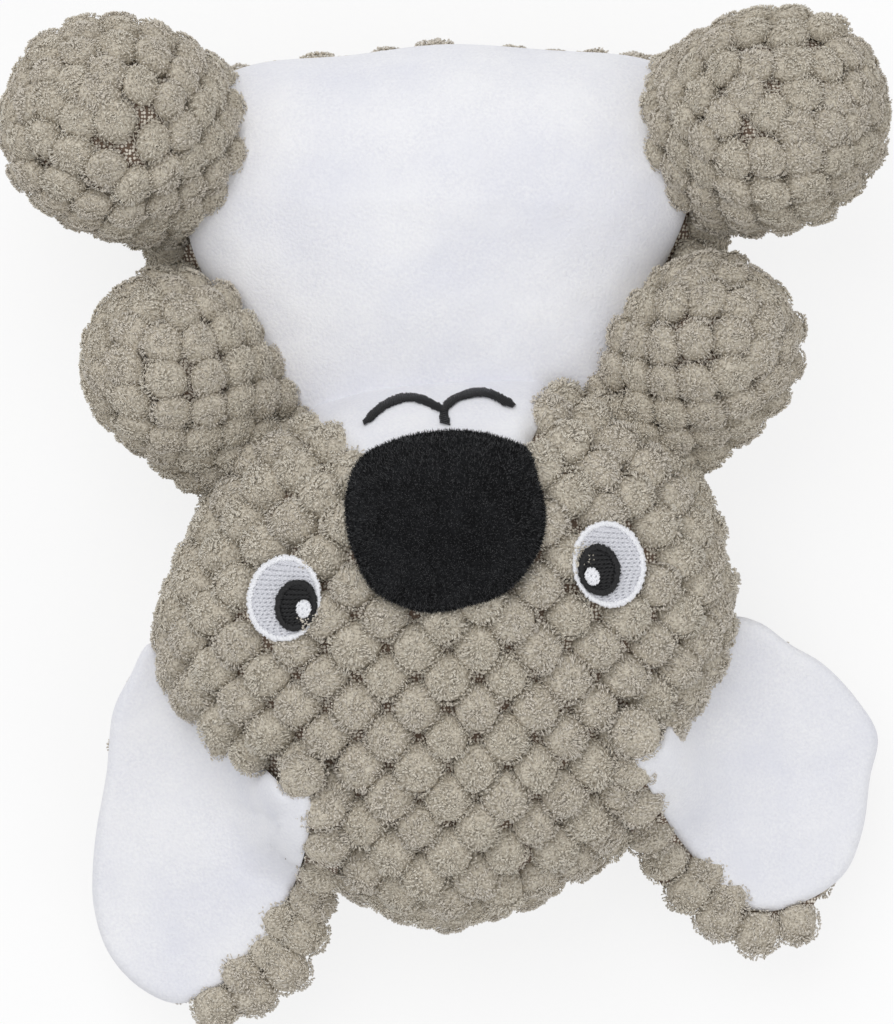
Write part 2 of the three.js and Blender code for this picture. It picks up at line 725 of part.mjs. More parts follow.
// A cupped sheet over the outline whose faces lie at heights that depend on the nearness to the rim.
function cuppedSheet(outline, { middle, alongSeam, outward }, lowFace, highFace) {
  const [u, v] = earMiddleShares;
  const centre = middle.clone().addScaledVector(alongSeam, u * earWidth).addScaledVector(outward, v * earLength);
  const place = (x, y, nearness, face) => {
    const out = (x - middle.x) * outward.x + (y - middle.y) * outward.y;
    const hang = earDroop * THREE.MathUtils.clamp(out / earLength, 0, 1);
    const height = earSeatHeight - hang + earCup * nearness ** 2 + face(nearness);
    return new THREE.Vector3(x, y, height);
  };
  const ring = (nearness, face) =>
    outline.map(({ x, y }) => {
      const px = centre.x + (x - centre.x) * nearness;
      const py = centre.y + (y - centre.y) * nearness;
      return place(px, py, nearness, face);
    });
  const shares = Array.from({ length: earRings }, (_, i) => (i + 1) / earRings);
  const rings = [
    ...shares.map((share) => ring(share, lowFace)),
    ...[...shares].reverse().map((share) => ring(share, highFace)),
  ];
  return toSolid(ringBody(place(centre.x, centre.y, 0, lowFace), rings, place(centre.x, centre.y, 0, highFace)));
}

function makeEar(ear) {
  const frame = earFrame(ear);
  const outline = earOutline(ear, frame);
  const flapAxis = frame.outward.clone().cross(upAxis);
  const places = [-earFlapDown, 0, earFlapUp].map((angle) => turnAbout(frame.hinge, flapAxis, -angle));
  const group = jointGroup(head, `ear_${ear.side}`, frame.hinge);
  const halfThickness = (nearness) => (earEdge + (earThickness - earEdge) * (1 - nearness ** 2)) / 2;
  const back = cuppedSheet(outline, frame, (n) => -halfThickness(n), halfThickness);
  const lining = cuppedSheet(
    outline,
    frame,
    (n) => halfThickness(n) + seatGap,
    (n) => halfThickness(n) + seatGap + shortPile,
  );
  const low = 0;
  const high = earSeatHeight + earCup + earThickness + overrun;
  const rolled = outline.map((point) => point.clone().addScaledVector(frame.alongSeam, -earRoll));
  const headRim = grownOutline(smoothOutline(headForm.outline, bodySegments), earRootMargin);
  const liningPlan = uprightBlock(grownOutline(outline, -earLiningMargin), low, high)
    .intersect(uprightBlock(rolled, low, high))
    .subtract(uprightBlock(headRim, low - overrun, high + overrun));
  addPiece(group, `ear_${ear.side}_back`, clearOf(back, headObstacle, places), bobbledGrey);
  addPiece(group, `ear_${ear.side}_lining`, lining.intersect(liningPlan), smoothWhite);
}

// Arms and legs

// Roots in shares of half the body's width, of its length and of its height, and the way to the paw.
const limbs = [
  { name: "arm_left", rootShares: [-0.555, 0.743, 0.45], toPaw: [-0.61, 0.565, 0.56] },
  { name: "arm_right", rootShares: [0.54, 0.728, 0.45], toPaw: [0.57, 0.605, 0.555] },
  { name: "leg_left", rootShares: [-0.78, 0.215, 0.39], toPaw: [-0.51, 0.16, 0.81] },
  { name: "leg_right", rootShares: [0.765, 0.185, 0.39], toPaw: [0.495, 0.1, 0.81] },
];
const armSize = { radius: armRadius, rootRadius: armRootRadius, length: armLength };
const legSize = { radius: legRadius, rootRadius: legRootRadius, length: legLength };
const limbHingeShare = 0.45; // of the way from the root to the middle of the paw
const limbRootShare = 0.5; // how far the rounded end stands behind the root, of the root's radius
const limbSideRings = 3;
const limbEndRings = 4;

// Radius and height of the rings of a limb that swells towards the paw and is round at both ends.
function limbProfile({ radius, rootRadius, length }, growth, endRings, sideRings) {
  const profile = [];
  for (let i = 0; i < endRings; i++) {
    const angle = (Math.PI / 2) * (i / endRings);
    const reach = limbRootShare * rootRadius + growth;
    profile.push(new THREE.Vector2((rootRadius + growth) * Math.sin(angle), -reach * Math.cos(angle)));
  }
  for (let i = 0; i < sideRings; i++) {
    const share = i / sideRings;
    const swell = Math.sin((share * Math.PI) / 2);
    profile.push(new THREE.Vector2(rootRadius + (radius - rootRadius) * swell + growth, length * share));
  }
  for (let i = 0; i <= endRings; i++) {
    const angle = (Math.PI / 2) * (i / endRings);
    const reach = radius + growth;
    const across = i < endRings ? reach * Math.cos(angle) : 0;
    profile.push(new THREE.Vector2(across, length + reach * Math.sin(angle)));
  }
  return profile;
}

// A shape made about the Y axis, turned and moved to the limb's place.
function atLimb({ root, direction }, shape) {
  const turn = new THREE.Quaternion().setFromUnitVectors(alongAxis, direction);
  return shape.applyQuaternion(turn).translate(root.x, root.y, root.z);
}

function limbForm(limb, growth) {
  const profile = limbProfile(limb.size, growth, limbEndRings, limbSideRings);
  return atLimb(limb, new THREE.LatheGeometry(profile, limbSegments));
}

// A limb in bobbled plush, with one bobble on its tip and the others in a diamond pattern behind it.
function bobbledLimb(limb) {
  const { radius, length } = limb.size;
  const around = 2 * Math.round((2 * Math.PI * radius) / bobblePitch);
  const turns = Array.from({ length: around }, (_, i) => (2 * Math.PI * i) / around);
  const skin = (depth) => {
    const profile = limbProfile(limb.size, -depth, bobbleRows(quarterArc(radius, radius)), bobbleRows(length));
    return profile.map(({ x, y }) =>
      turns.map((turn) => new THREE.Vector3(x * Math.sin(turn), y, x * Math.cos(turn))),
    );
  };
  const [[root], ...crests] = skin(0);
  const [tip] = crests.pop();
  const valleys = skin(bobbleRelief).slice(1, -1);
  const tipRow = crests.length - 1;
  const isCrest = (isEven, point, row) => row === tipRow || (isEven && row < tipRow - 1);
  return atLimb(limb, ringBody(root, bobbledRings(crests, valleys, isCrest), tip));
}

function makeLimb({ name, rootShares, toPaw }) {
  const isArm = name.startsWith("arm");
  const root = new THREE.Vector3(...bodySpot(rootShares[0], rootShares[1]), rootShares[2] * bodyHeight);
  const direction = new THREE.Vector3(...toPaw).normalize();
  const limb = { root, direction, size: isArm ? armSize : legSize };
  const hinge = root.clone().addScaledVector(direction, limbHingeShare * limb.size.length);
  // Turning towards +X carries a left limb inward and a right limb outward.
  const angles = root.x < 0 ? sweptAngles(-swingOutward, swingInward) : sweptAngles(-swingInward, swingOutward);
  const turns = angles.map((angle) => turnAbout(hinge, alongAxis, -angle));
  const headPlaces = turns.flatMap((turn) => nodPlaces.map((nod) => turn.clone().multiply(nod)));
  const cut = (solid) => {
    const clearOfBody = clearOf(solid, bodyObstacle, turns);
    return isArm ? clearOf(clearOfBody, noddingHead, headPlaces) : clearOfBody;
  };
  const outer = toSolid(bobbledLimb(limb));
  const cavity = toSolid(limbForm(limb, -bobblePile));
  const stuffing = toSolid(limbForm(limb, -bobblePile - stuffingGap));
  const group = jointGroup(body, name, hinge);
  addPiece(group, `${name}_cover`, cut(outer.subtract(cavity)), bobbledGrey);
  addPiece(group, `${name}_stuffing`, cut(stuffing), fibrefill);
}

makeBodyPanels();
makeBodyStuffing();
makeSqueakerBase();
makeSqueakerWhistle();
makeSqueakerReed();
makeSqueakerBellows();
makeSqueakerCrown();
makeHeadPanels();
makeNose();
eyes.forEach(makeEye);
makeMouth();
ears.forEach(makeEar);
limbs.forEach(makeLimb);

export default toy;
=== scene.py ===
import json
import math

import bpy
import numpy as np
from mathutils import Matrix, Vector, geometry
from mathutils.bvhtree import BVHTree


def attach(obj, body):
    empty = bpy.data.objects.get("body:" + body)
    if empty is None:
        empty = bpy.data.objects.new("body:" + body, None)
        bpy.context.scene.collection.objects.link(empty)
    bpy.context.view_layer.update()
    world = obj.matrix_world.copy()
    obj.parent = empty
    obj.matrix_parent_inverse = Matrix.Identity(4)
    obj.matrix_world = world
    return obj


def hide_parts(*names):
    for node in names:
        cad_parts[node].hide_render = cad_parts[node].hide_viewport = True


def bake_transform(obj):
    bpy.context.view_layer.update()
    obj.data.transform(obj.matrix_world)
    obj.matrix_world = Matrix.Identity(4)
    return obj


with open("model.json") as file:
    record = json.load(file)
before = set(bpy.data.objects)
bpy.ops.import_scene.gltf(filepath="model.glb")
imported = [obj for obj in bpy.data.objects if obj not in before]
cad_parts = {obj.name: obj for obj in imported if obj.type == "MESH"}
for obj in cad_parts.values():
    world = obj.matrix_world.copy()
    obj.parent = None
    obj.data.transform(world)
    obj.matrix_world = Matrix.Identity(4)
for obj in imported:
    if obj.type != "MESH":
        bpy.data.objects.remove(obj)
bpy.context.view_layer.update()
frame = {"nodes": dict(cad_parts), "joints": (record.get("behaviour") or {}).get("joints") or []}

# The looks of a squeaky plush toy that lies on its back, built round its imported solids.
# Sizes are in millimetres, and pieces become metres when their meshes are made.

MM = 0.001
GOLDEN_ANGLE = math.pi * (3 - math.sqrt(5))
UP = np.array([0.0, 0.0, 1.0])
rng = np.random.default_rng(7)

# Fabrics
BOBBLE_PITCH = 10.0  # between neighbours of the diamond pattern
LIMB_PITCH = 8.2  # at the backing, where a limb is thinner
BOBBLE_RADIUS = 5.9
BOBBLE_HEIGHT = 5.6
BACKING_DEPTH = 4.8  # of the knitted backing below the bobbled surface
BACKING_THICKNESS = 1.2
LIMB_BACKING_DEPTH = 6.2
LIMB_BOBBLE_SHARE = 0.92
TUFT_STRANDS = 420
HIDDEN_TUFT_STRANDS = 110
STRAND_WIDTH = 0.48
CREASE_DEPTH = 0.1
CREASE_WIDTH = 0.22
STRANDS_PER_LOCK = 7
TUFT_LOW_POLAR = 1.66
ROOT_SHARE = 0.89
RIM_CLOSENESS = 0.75
LOCK_LEAN = 0.14
STRAND_LEAN = 0.07
COMB_LEAN = 0.05
TUFT_KINDS = 8
PLUSH_THICKNESS = 1.6
FLOOR_CLEARANCE = 0.2

# Body
BODY_WIDTH = 144
BODY_LENGTH = 132.5
BODY_HEIGHT = 62
BODY_SEAM = 27
CROTCH_Y = 112.5
CHEST_DROP = 16
BELLY_INSET = 9
FLAT_DEPTH = 0.5

# Head
HEAD_WIDTH = 136
HEAD_LENGTH = 130
HEAD_HEIGHT = 79
HEAD_SEAM = 35
CHIN_Y = 33.5
MUZZLE_RISE = 7
MUZZLE_SPREAD = 26

# Face
NOSE_WIDTH = 45
NOSE_LENGTH = 41
NOSE_RISE = 4
EYE_SIZE = (17, 20)
PUPIL_SIZE = (9.7, 12)
GLINT_SIZE = (3.4, 4.3)
MOUTH_LINE_WIDTH = 2.2
THREAD_WIDTH = 0.42
NOSE_PILE_LENGTH = 1.1
NOSE_RIM_STEP = 0.1

# Ears
EAR_WIDTH = 70
EAR_LENGTH = 50
EAR_DROOP = 13
EAR_CUP = 5
EAR_THICKNESS = 6.5
EAR_EDGE = 3.5

# Limbs
ARM = {"radius": 23.3, "root_radius": 18.5, "length": 39}
LEG = {"radius": 27.4, "root_radius": 22, "length": 41}
LIMB_BACK_SHARE = 0.5

# Camera and light, in metres
EYE_HEIGHT = 1.2
FOCUS_HEIGHT = 0.04
VIEW_WIDTH = 894 * 0.000235
VIEW_Y = 0.0012


# Outlines

def smooth_outline(points, count):
    """A closed centripetal curve through the points, as count points at even steps along it."""
    points = np.asarray(points, float)
    steps = 24
    before, here = np.roll(points, 1, 0), points
    after, later = np.roll(points, -1, 0), np.roll(points, -2, 0)
    gap = lambda a, b: np.sqrt(np.linalg.norm(a - b, axis=1))[:, None]
    first, middle, last = gap(before, here), gap(here, after), gap(after, later)
    leave = (here - before) / first - (after - before) / (first + middle) + (after - here) / middle
    arrive = (after - here) / middle - (later - here) / (middle + last) + (later - after) / last
    leave, arrive = leave * middle, arrive * middle
    t = (np.arange(steps) / steps)[None, :, None]
    here, after, leave, arrive = (x[:, None, :] for x in (here, after, leave, arrive))
    curve = (
        here
        + leave * t
        + (3 * (after - here) - 2 * leave - arrive) * t**2
        + (2 * (here - after) + leave + arrive) * t**3
    ).reshape(-1, points.shape[1])
    return even_steps(np.vstack([curve, curve[:1]]), count)


def even_steps(curve, count):
    """count points at even steps along an open line, without its end."""
    runs = np.concatenate([[0], np.cumsum(np.linalg.norm(np.diff(curve, axis=0), axis=1))])
    at = runs[-1] * np.arange(count) / count
    return np.column_stack([np.interp(at, runs, curve[:, k]) for k in range(curve.shape[1])])


def open_curve(points, count):
    """A smooth open curve through the points, as count points at even steps from its start."""
    points = np.asarray(points, float)
    points = np.vstack([2 * points[0] - points[1], points, 2 * points[-1] - points[-2]])
    steps = np.linspace(0, 1, 30)[:, None]
    curve = np.vstack([
        0.5 * (2 * b + (c - a) * steps + (2 * a - 5 * b + 4 * c - d) * steps**2 + (3 * b - a - 3 * c + d) * steps**3)
        for a, b, c, d in zip(points, points[1:], points[2:], points[3:])
    ])
    return even_steps(curve, count)


def curve_length(curve):
    return np.sum(np.linalg.norm(np.diff(curve, axis=0), axis=1))


def grown_outline(outline, distance):
    """The outline, which runs anticlockwise, moved outward by a distance."""
    run = np.roll(outline, -1, 0) - np.roll(outline, 1, 0)
    run /= np.linalg.norm(run, axis=1)[:, None]
    return outline + distance * np.column_stack([run[:, 1], -run[:, 0]])


def anticlockwise(outline):
    x, y = outline.T
    area = np.sum(x * np.roll(y, -1) - y * np.roll(x, -1))
    return outline if area > 0 else outline[::-1]


def ellipse_outline(centre, size, lean, count):
    angle = 2 * np.pi * np.arange(count) / count
    x, y = size[0] / 2 * np.cos(angle), size[1] / 2 * np.sin(angle)
    lean = math.radians(lean)
    return np.column_stack([
        centre[0] + x * math.cos(lean) - y * math.sin(lean),
        centre[1] + x * math.sin(lean) + y * math.cos(lean),
    ])


def inside_outline(points, outline):
    """Which of the plan points lie inside the outline."""
    x, y = points[:, 0][:, None], points[:, 1][:, None]
    ax, ay = outline.T
    bx, by = np.roll(outline, -1, 0).T
    crosses = (ay > y) != (by > y)
    with np.errstate(divide="ignore", invalid="ignore"):
        reach = ax + (y - ay) * (bx - ax) / (by - ay)
    return (crosses & (x < reach)).sum(1) % 2 == 1


def outline_distance(points, outline):
    """The distance from each plan point to the outline."""
    nearest = np.full(len(points), np.inf)
    for start, end in zip(outline, np.roll(outline, -1, 0)):
        run = end - start
        share = np.clip((points - start) @ run / (run @ run), 0, 1)
        nearest = np.minimum(nearest, np.linalg.norm(points - start - share[:, None] * run, axis=1))
    return nearest


def smooth_step(value, low, high):
    share = np.clip((value - low) / (high - low), 0, 1)
    return share * share * (3 - 2 * share)


def waves(points, length, seed, count=9):
    """Smooth noise from -1 to 1 whose swells are about length apart."""
    spin = np.random.default_rng(seed)
    directions = spin.normal(size=(count, points.shape[1]))
    directions /= np.linalg.norm(directions, axis=1)[:, None]
    pace = 2 * np.pi / (length * spin.uniform(0.7, 1.5, count))
    return np.sin(points @ directions.T * pace + spin.uniform(0, 2 * np.pi, count)).sum(1) / math.sqrt(2 * count)


# Stuffed forms: a plan outline at seam height, domed above and below like a pillow

class PillowForm:
    def __init__(self, plan, shares, seam, height, high_share, low_share, fullness, low_fullness, relief):
        self.plan = plan
        self.rim = smooth_outline([plan(*share) for share in shares], 180)
        self.seam = seam
        self.height = height
        self.high_spot = np.array(plan(*high_share))
        self.low_spot = np.array(plan(*low_share))
        self.fullness = fullness
        self.low_fullness = low_fullness
        self.relief = relief

    def rim_reach(self, turn, spot, grow):
        """How far the rim lies from the spot in each direction."""
        rim = grown_outline(self.rim, grow) - spot
        angle = np.arctan2(rim[:, 1], rim[:, 0])
        order = np.argsort(angle)
        return np.interp(turn, angle[order], np.linalg.norm(rim, axis=1)[order], period=2 * np.pi)

    def share_out(self, plan_points, spot, grow=0.0):
        """0 at the spot and 1 at the rim."""
        away = plan_points[:, :2] - spot
        turn = np.arctan2(away[:, 1], away[:, 0])
        return np.linalg.norm(away, axis=1) / self.rim_reach(turn, spot, grow)

    def top(self, plan_points, grow=0.0):
        share = np.clip(self.share_out(plan_points, self.high_spot, grow), 0, 1)
        rise = (1 - share**self.fullness) ** (1 / self.fullness)
        return self.seam + rise * (self.height - self.seam + grow + self.relief(plan_points[:, :2]))

    def bottom(self, plan_points, grow=0.0):
        share = np.clip(self.share_out(plan_points, self.low_spot, grow), 0, 1)
        drop = (1 - share**self.low_fullness) ** (1 / self.low_fullness)
        return np.maximum(self.seam - drop * (self.seam + FLAT_DEPTH + grow), -grow)

    def holds(self, points, grow=0.0):
        """Which of the points lie inside the form, grown by a distance."""
        out = self.share_out(points, self.high_spot, grow) < 1
        return out & (points[:, 2] < self.top(points, grow)) & (points[:, 2] > self.bottom(points, grow))

    def at(self, turn_share, depth, grow=0.0, high_grow=None):
        """Points of the skin. depth is 0 at the high pole, 1 at the rim and 2 at the low pole."""
        high_grow = grow if high_grow is None else high_grow
        rim = grown_outline(self.rim, grow)
        rim = np.vstack([rim, rim[:1]])
        step = np.mod(turn_share, 1) * (len(rim) - 1)
        rim_points = np.column_stack([np.interp(step, np.arange(len(rim)), rim[:, k]) for k in (0, 1)])
        angle = (1 - depth) * np.pi / 2
        above = (depth <= 1)[:, None]
        spot = np.where(above, self.high_spot, self.low_spot)
        full = np.where(above[:, 0], self.fullness, self.low_fullness)
        spread = np.abs(np.cos(angle)) ** (2 / full)
        rise = np.abs(np.sin(angle)) ** (2 / full)
        plan = spot + (rim_points - spot) * spread[:, None]
        high = self.height - self.seam + high_grow + self.relief(plan)
        low = -(self.seam + FLAT_DEPTH + grow)
        z = self.seam + rise * np.where(above[:, 0], high, low)
        return np.column_stack([plan, np.maximum(z, -grow if grow < 0 else 0)])

    def chart(self, plan_points):
        """(turn share, depth) of the points of the upper skin over these plan points."""
        away = plan_points - self.high_spot
        rim = self.rim - self.high_spot
        turns = np.unwrap(np.arctan2(rim[:, 1], rim[:, 0]))
        turn = np.arctan2(away[:, 1], away[:, 0])
        turn = turns[0] + np.mod(turn - turns[0], 2 * np.pi)
        share = np.interp(turn, np.append(turns, turns[0] + 2 * np.pi), np.arange(len(rim) + 1) / len(rim))
        out = np.clip(self.share_out(plan_points, self.high_spot), 0, 1)
        return share, 1 - np.arccos(np.clip(out ** (self.fullness / 2), 0, 1)) / (np.pi / 2)

    def rings(self, around, depths, grow=0.0, high_grow=None):
        turn = np.arange(around) / around
        return [self.at(turn, np.full(around, depth), grow, high_grow) for depth in depths]


body_shares = [
    [0, 0], [-0.33, 0.02], [-0.67, 0.04], [-0.87, 0.1], [-0.98, 0.215], [-1, 0.36],
    [-0.92, 0.48], [-0.8, 0.6], [-0.68, 0.75], [-0.54, 0.88], [-0.31, 0.975],
    [0, 1], [0.31, 0.975], [0.54, 0.88], [0.66, 0.73], [0.74, 0.575],
    [0.84, 0.455], [0.93, 0.335], [0.97, 0.215], [0.875, 0.085], [0.67, 0.028], [0.33, 0.01],
]
head_shares = [
    [-0.03, 0.005], [-0.23, 0.015], [-0.5, 0.06], [-0.735, 0.12], [-0.905, 0.3], [-1, 0.41],
    [-1, 0.535], [-0.88, 0.65], [-0.68, 0.79], [-0.4, 0.92], [-0.03, 1], [0.38, 0.94],
    [0.63, 0.84], [0.84, 0.65], [0.97, 0.505], [0.99, 0.405], [0.94, 0.265], [0.84, 0.14],
    [0.68, 0.06], [0.455, 0.01], [0.16, 0],
]
NOSE_SPOT_SHARE = (-0.007, 0.265)
CHEST_START_SHARE = 0.3


def body_spot(across, down):
    return across * BODY_WIDTH / 2, CROTCH_Y - down * BODY_LENGTH


def head_spot(across, down):
    return across * HEAD_WIDTH / 2, CHIN_Y - down * HEAD_LENGTH


nose_spot = np.array(head_spot(*NOSE_SPOT_SHARE))


def chest_relief(plan):
    down = (CROTCH_Y - plan[:, 1]) / BODY_LENGTH
    return -CHEST_DROP * np.maximum(0, (down - CHEST_START_SHARE) / (1 - CHEST_START_SHARE))


def muzzle_relief(plan):
    away = np.linalg.norm(plan - nose_spot, axis=1) / MUZZLE_SPREAD
    return MUZZLE_RISE * np.exp(-away * away)


body_form = PillowForm(
    body_spot, body_shares, BODY_SEAM, BODY_HEIGHT, (0, 0.27), (0, 0.27), 2.4, 3, chest_relief
)
head_form = PillowForm(
    head_spot, head_shares, HEAD_SEAM, HEAD_HEIGHT, (0, 0.32), (0, 0.45), 2.5, 2.4, muzzle_relief
)


class LimbForm:
    """A limb that swells towards the paw and is round at both ends."""

    def __init__(self, name, root_share, to_paw, size):
        self.name = name
        self.root = np.array([*body_spot(*root_share[:2]), root_share[2] * BODY_HEIGHT])
        self.direction = np.array(to_paw) / np.linalg.norm(to_paw)
        self.size = size
        side = np.cross(self.direction, UP)
        self.across = side / np.linalg.norm(side)
        self.over = np.cross(self.across, self.direction)

    def reach(self, along, grow):
        """The radius at each place along the limb."""
        radius = self.size["radius"] + grow
        root_radius = self.size["root_radius"] + grow
        length = self.size["length"]
        back = LIMB_BACK_SHARE * self.size["root_radius"] + grow
        swell = np.sin(np.clip(along / length, 0, 1) * np.pi / 2)
        middle = root_radius + (radius - root_radius) * swell
        tip = np.sqrt(np.clip(1 - (np.maximum(along - length, 0) / radius) ** 2, 0, 1))
        root = np.sqrt(np.clip(1 - (np.minimum(along, 0) / back) ** 2, 0, 1))
        return middle * tip * root

    def holds(self, points, grow=0.0):
        away = points - self.root
        along = away @ self.direction
        aside = np.linalg.norm(away - along[:, None] * self.direction, axis=1)
        return aside < self.reach(along, grow)

    def line(self, grow):
        """Places and radii from the paw's tip to the other end, at even steps."""
        angle = np.linspace(0, np.pi / 2, 24)
        tip = self.size["length"] + (self.size["radius"] + grow) * np.cos(angle)
        sides = np.linspace(self.size["length"], 0, 24)[1:]
        back = -(LIMB_BACK_SHARE * self.size["root_radius"] + grow) * np.sin(angle[1:])
        along = np.concatenate([tip, sides, back])
        profile = np.column_stack([along, self.reach(along, grow)])
        return even_steps(profile, 60)

    def ring(self, along, reach, turn):
        return (
            self.root
            + np.multiply.outer(along * np.ones_like(turn), self.direction)
            + (reach * np.cos(turn))[:, None] * self.across
            + (reach * np.sin(turn))[:, None] * self.over
        )


limb_forms = [
    LimbForm("arm_left", (-0.555, 0.743, 0.45), (-0.61, 0.565, 0.56), ARM),
    LimbForm("arm_right", (0.54, 0.728, 0.45), (0.57, 0.605, 0.555), ARM),
    LimbForm("leg_left", (-0.78, 0.215, 0.39), (-0.51, 0.16, 0.81), LEG),
    LimbForm("leg_right", (0.765, 0.185, 0.39), (0.495, 0.1, 0.81), LEG),
]


# Meshes

def make_object(name, points, face_groups, materials, picks=None, smooth=True):
    """An object from points in millimetres and arrays of faces, with a material number for each face."""
    mesh = bpy.data.meshes.new(name)
    mesh.vertices.add(len(points))
    mesh.vertices.foreach_set("co", (np.asarray(points) * MM).astype(np.float32).ravel())
    totals = np.concatenate([np.full(len(faces), faces.shape[1]) for faces in face_groups])
    mesh.loops.add(int(totals.sum()))
    mesh.loops.foreach_set("vertex_index", np.concatenate([faces.ravel() for faces in face_groups]))
    mesh.polygons.add(len(totals))
    mesh.polygons.foreach_set("loop_start", np.concatenate([[0], np.cumsum(totals)[:-1]]))
    mesh.polygons.foreach_set("use_smooth", np.full(len(totals), smooth))
    for material in materials:
        mesh.materials.append(material)
    if picks is not None:
        mesh.polygons.foreach_set("material_index", picks.astype(np.int32))
    mesh.update(calc_edges=True)
    mesh.validate()
    thing = bpy.data.objects.new(name, mesh)
    bpy.context.scene.collection.objects.link(thing)
    return thing


def ring_faces(around, count, first=0):
    """Quads between count rings, each of around points, that start at a point number."""
    here = np.arange(around)
    ahead = (here + 1) % around
    rows = first + around * np.arange(count - 1)[:, None]
    quads = np.stack([rows + here, rows + ahead, rows + around + ahead, rows + around + here], -1)
    return quads.reshape(-1, 4)


def ring_body(name, first_pole, rings, last_pole, materials):
    """A closed body whose skin runs from one pole over rings of points to the other pole."""
    around = len(rings[0])
    points = np.vstack([[first_pole], *rings, [last_pole]])
    here = np.arange(around)
    ahead = (here + 1) % around
    last = len(points) - 1
    fan = np.column_stack([np.zeros(around, int), 1 + ahead, 1 + here])
    end_fan = np.column_stack([np.full(around, last), last - around + here, last - around + ahead])
    quads = ring_faces(around, len(rings), 1)
    if signed_volume(points, quads, fan, end_fan) < 0:
        quads, fan, end_fan = quads[:, ::-1], fan[:, ::-1], end_fan[:, ::-1]
    return make_object(name, points, [quads, fan, end_fan], materials)


def signed_volume(points, *face_groups):
    """Six times the volume that the faces enclose, below zero where they face inward."""
    total = 0.0
    for faces in face_groups:
        first = points[faces[:, 0]]
        for k in range(1, faces.shape[1] - 1):
            total += float(np.sum(first * np.cross(points[faces[:, k]], points[faces[:, k + 1]])))
    return total


def shell_body(name, pole, rings, inner_rings, inner_pole, materials):
    """A closed shell from a pole over its outer rings, round its edge and back over its inner rings."""
    return ring_body(name, pole, rings + inner_rings[::-1], inner_pole, materials)


def filled_outline(outline, spacing):
    """Plan points and triangles that fill an outline, with the outline's own points first."""
    outline = anticlockwise(outline)
    low, high = outline.min(0), outline.max(0)
    x = np.arange(low[0], high[0], spacing)
    y = np.arange(low[1], high[1], spacing * math.sqrt(3) / 2)
    grid = np.stack(np.meshgrid(x, y), -1)
    grid[1::2, :, 0] += spacing / 2
    grid = grid.reshape(-1, 2)
    grid = grid[inside_outline(grid, outline)]
    grid = grid[outline_distance(grid, outline) > spacing / 2]
    points = np.vstack([outline, grid])
    count = len(outline)
    border = [(i, (i + 1) % count) for i in range(count)]
    made = geometry.delaunay_2d_cdt([Vector(p) for p in points], border, [], 1, 1e-6)
    return np.array([tuple(v) for v in made[0]]), np.array(made[2]), made[3]


def sheet_body(name, outline, spacing, top, bottom, materials):
    """A closed sheet over an outline. top and bottom turn plan points into points of its two faces."""
    flat, faces, _ = filled_outline(outline, spacing)
    edges = np.sort(np.concatenate([faces[:, [0, 1]], faces[:, [1, 2]], faces[:, [2, 0]]]), axis=1)
    unique, counts = np.unique(edges, axis=0, return_counts=True)
    border = {tuple(e) for e in unique[counts == 1]}
    runs = [(a, b) for face in faces for a, b in zip(face, np.roll(face, -1)) if tuple(sorted((a, b))) in border]
    start, end = np.array(runs).T
    shift = len(flat)
    walls = np.column_stack([start + shift, end + shift, end, start])
    points = np.vstack([top(flat), bottom(flat)])
    return make_object(name, points, [faces, faces[:, ::-1] + shift, walls], materials)


def apply_modifiers(thing):
    graph = bpy.context.evaluated_depsgraph_get()
    mesh = bpy.data.meshes.new_from_object(thing.evaluated_get(graph))
    thing.modifiers.clear()
    thing.data = mesh


def cut_away(thing, cutter_rings, cutter_poles):
    """Cuts a form out of a piece, so that the piece ends just inside it."""
    cutter = ring_body(thing.name + "_cutter", cutter_poles[0], cutter_rings, cutter_poles[1], [])
    cut = thing.modifiers.new("cut", "BOOLEAN")
    cut.operation = "DIFFERENCE"
    cut.solver = "EXACT"
    cut.use_self = True
    cut.object = cutter
    apply_modifiers(thing)
    bpy.data.objects.remove(cutter)


def join(target, extra):
    """Adds the faces of one object to another."""
    with bpy.context.temp_override(active_object=target, selected_editable_objects=[target, extra]):
        bpy.ops.object.join()


def surface_tree(thing):
    points = np.zeros(len(thing.data.vertices) * 3, np.float32)
    thing.data.vertices.foreach_get("co", points)
    return BVHTree.FromPolygons(
        [Vector(p) for p in points.reshape(-1, 3) / MM], [tuple(p.vertices) for p in thing.data.polygons]
    )


# Materials

def srgb(red, green, blue):
    """The linear colour of a display colour from 0 to 255."""
    share = np.array([red, green, blue]) / 255
    linear = np.where(share <= 0.04045, share / 12.92, ((share + 0.055) / 1.055) ** 2.4)
    return (*linear, 1.0)


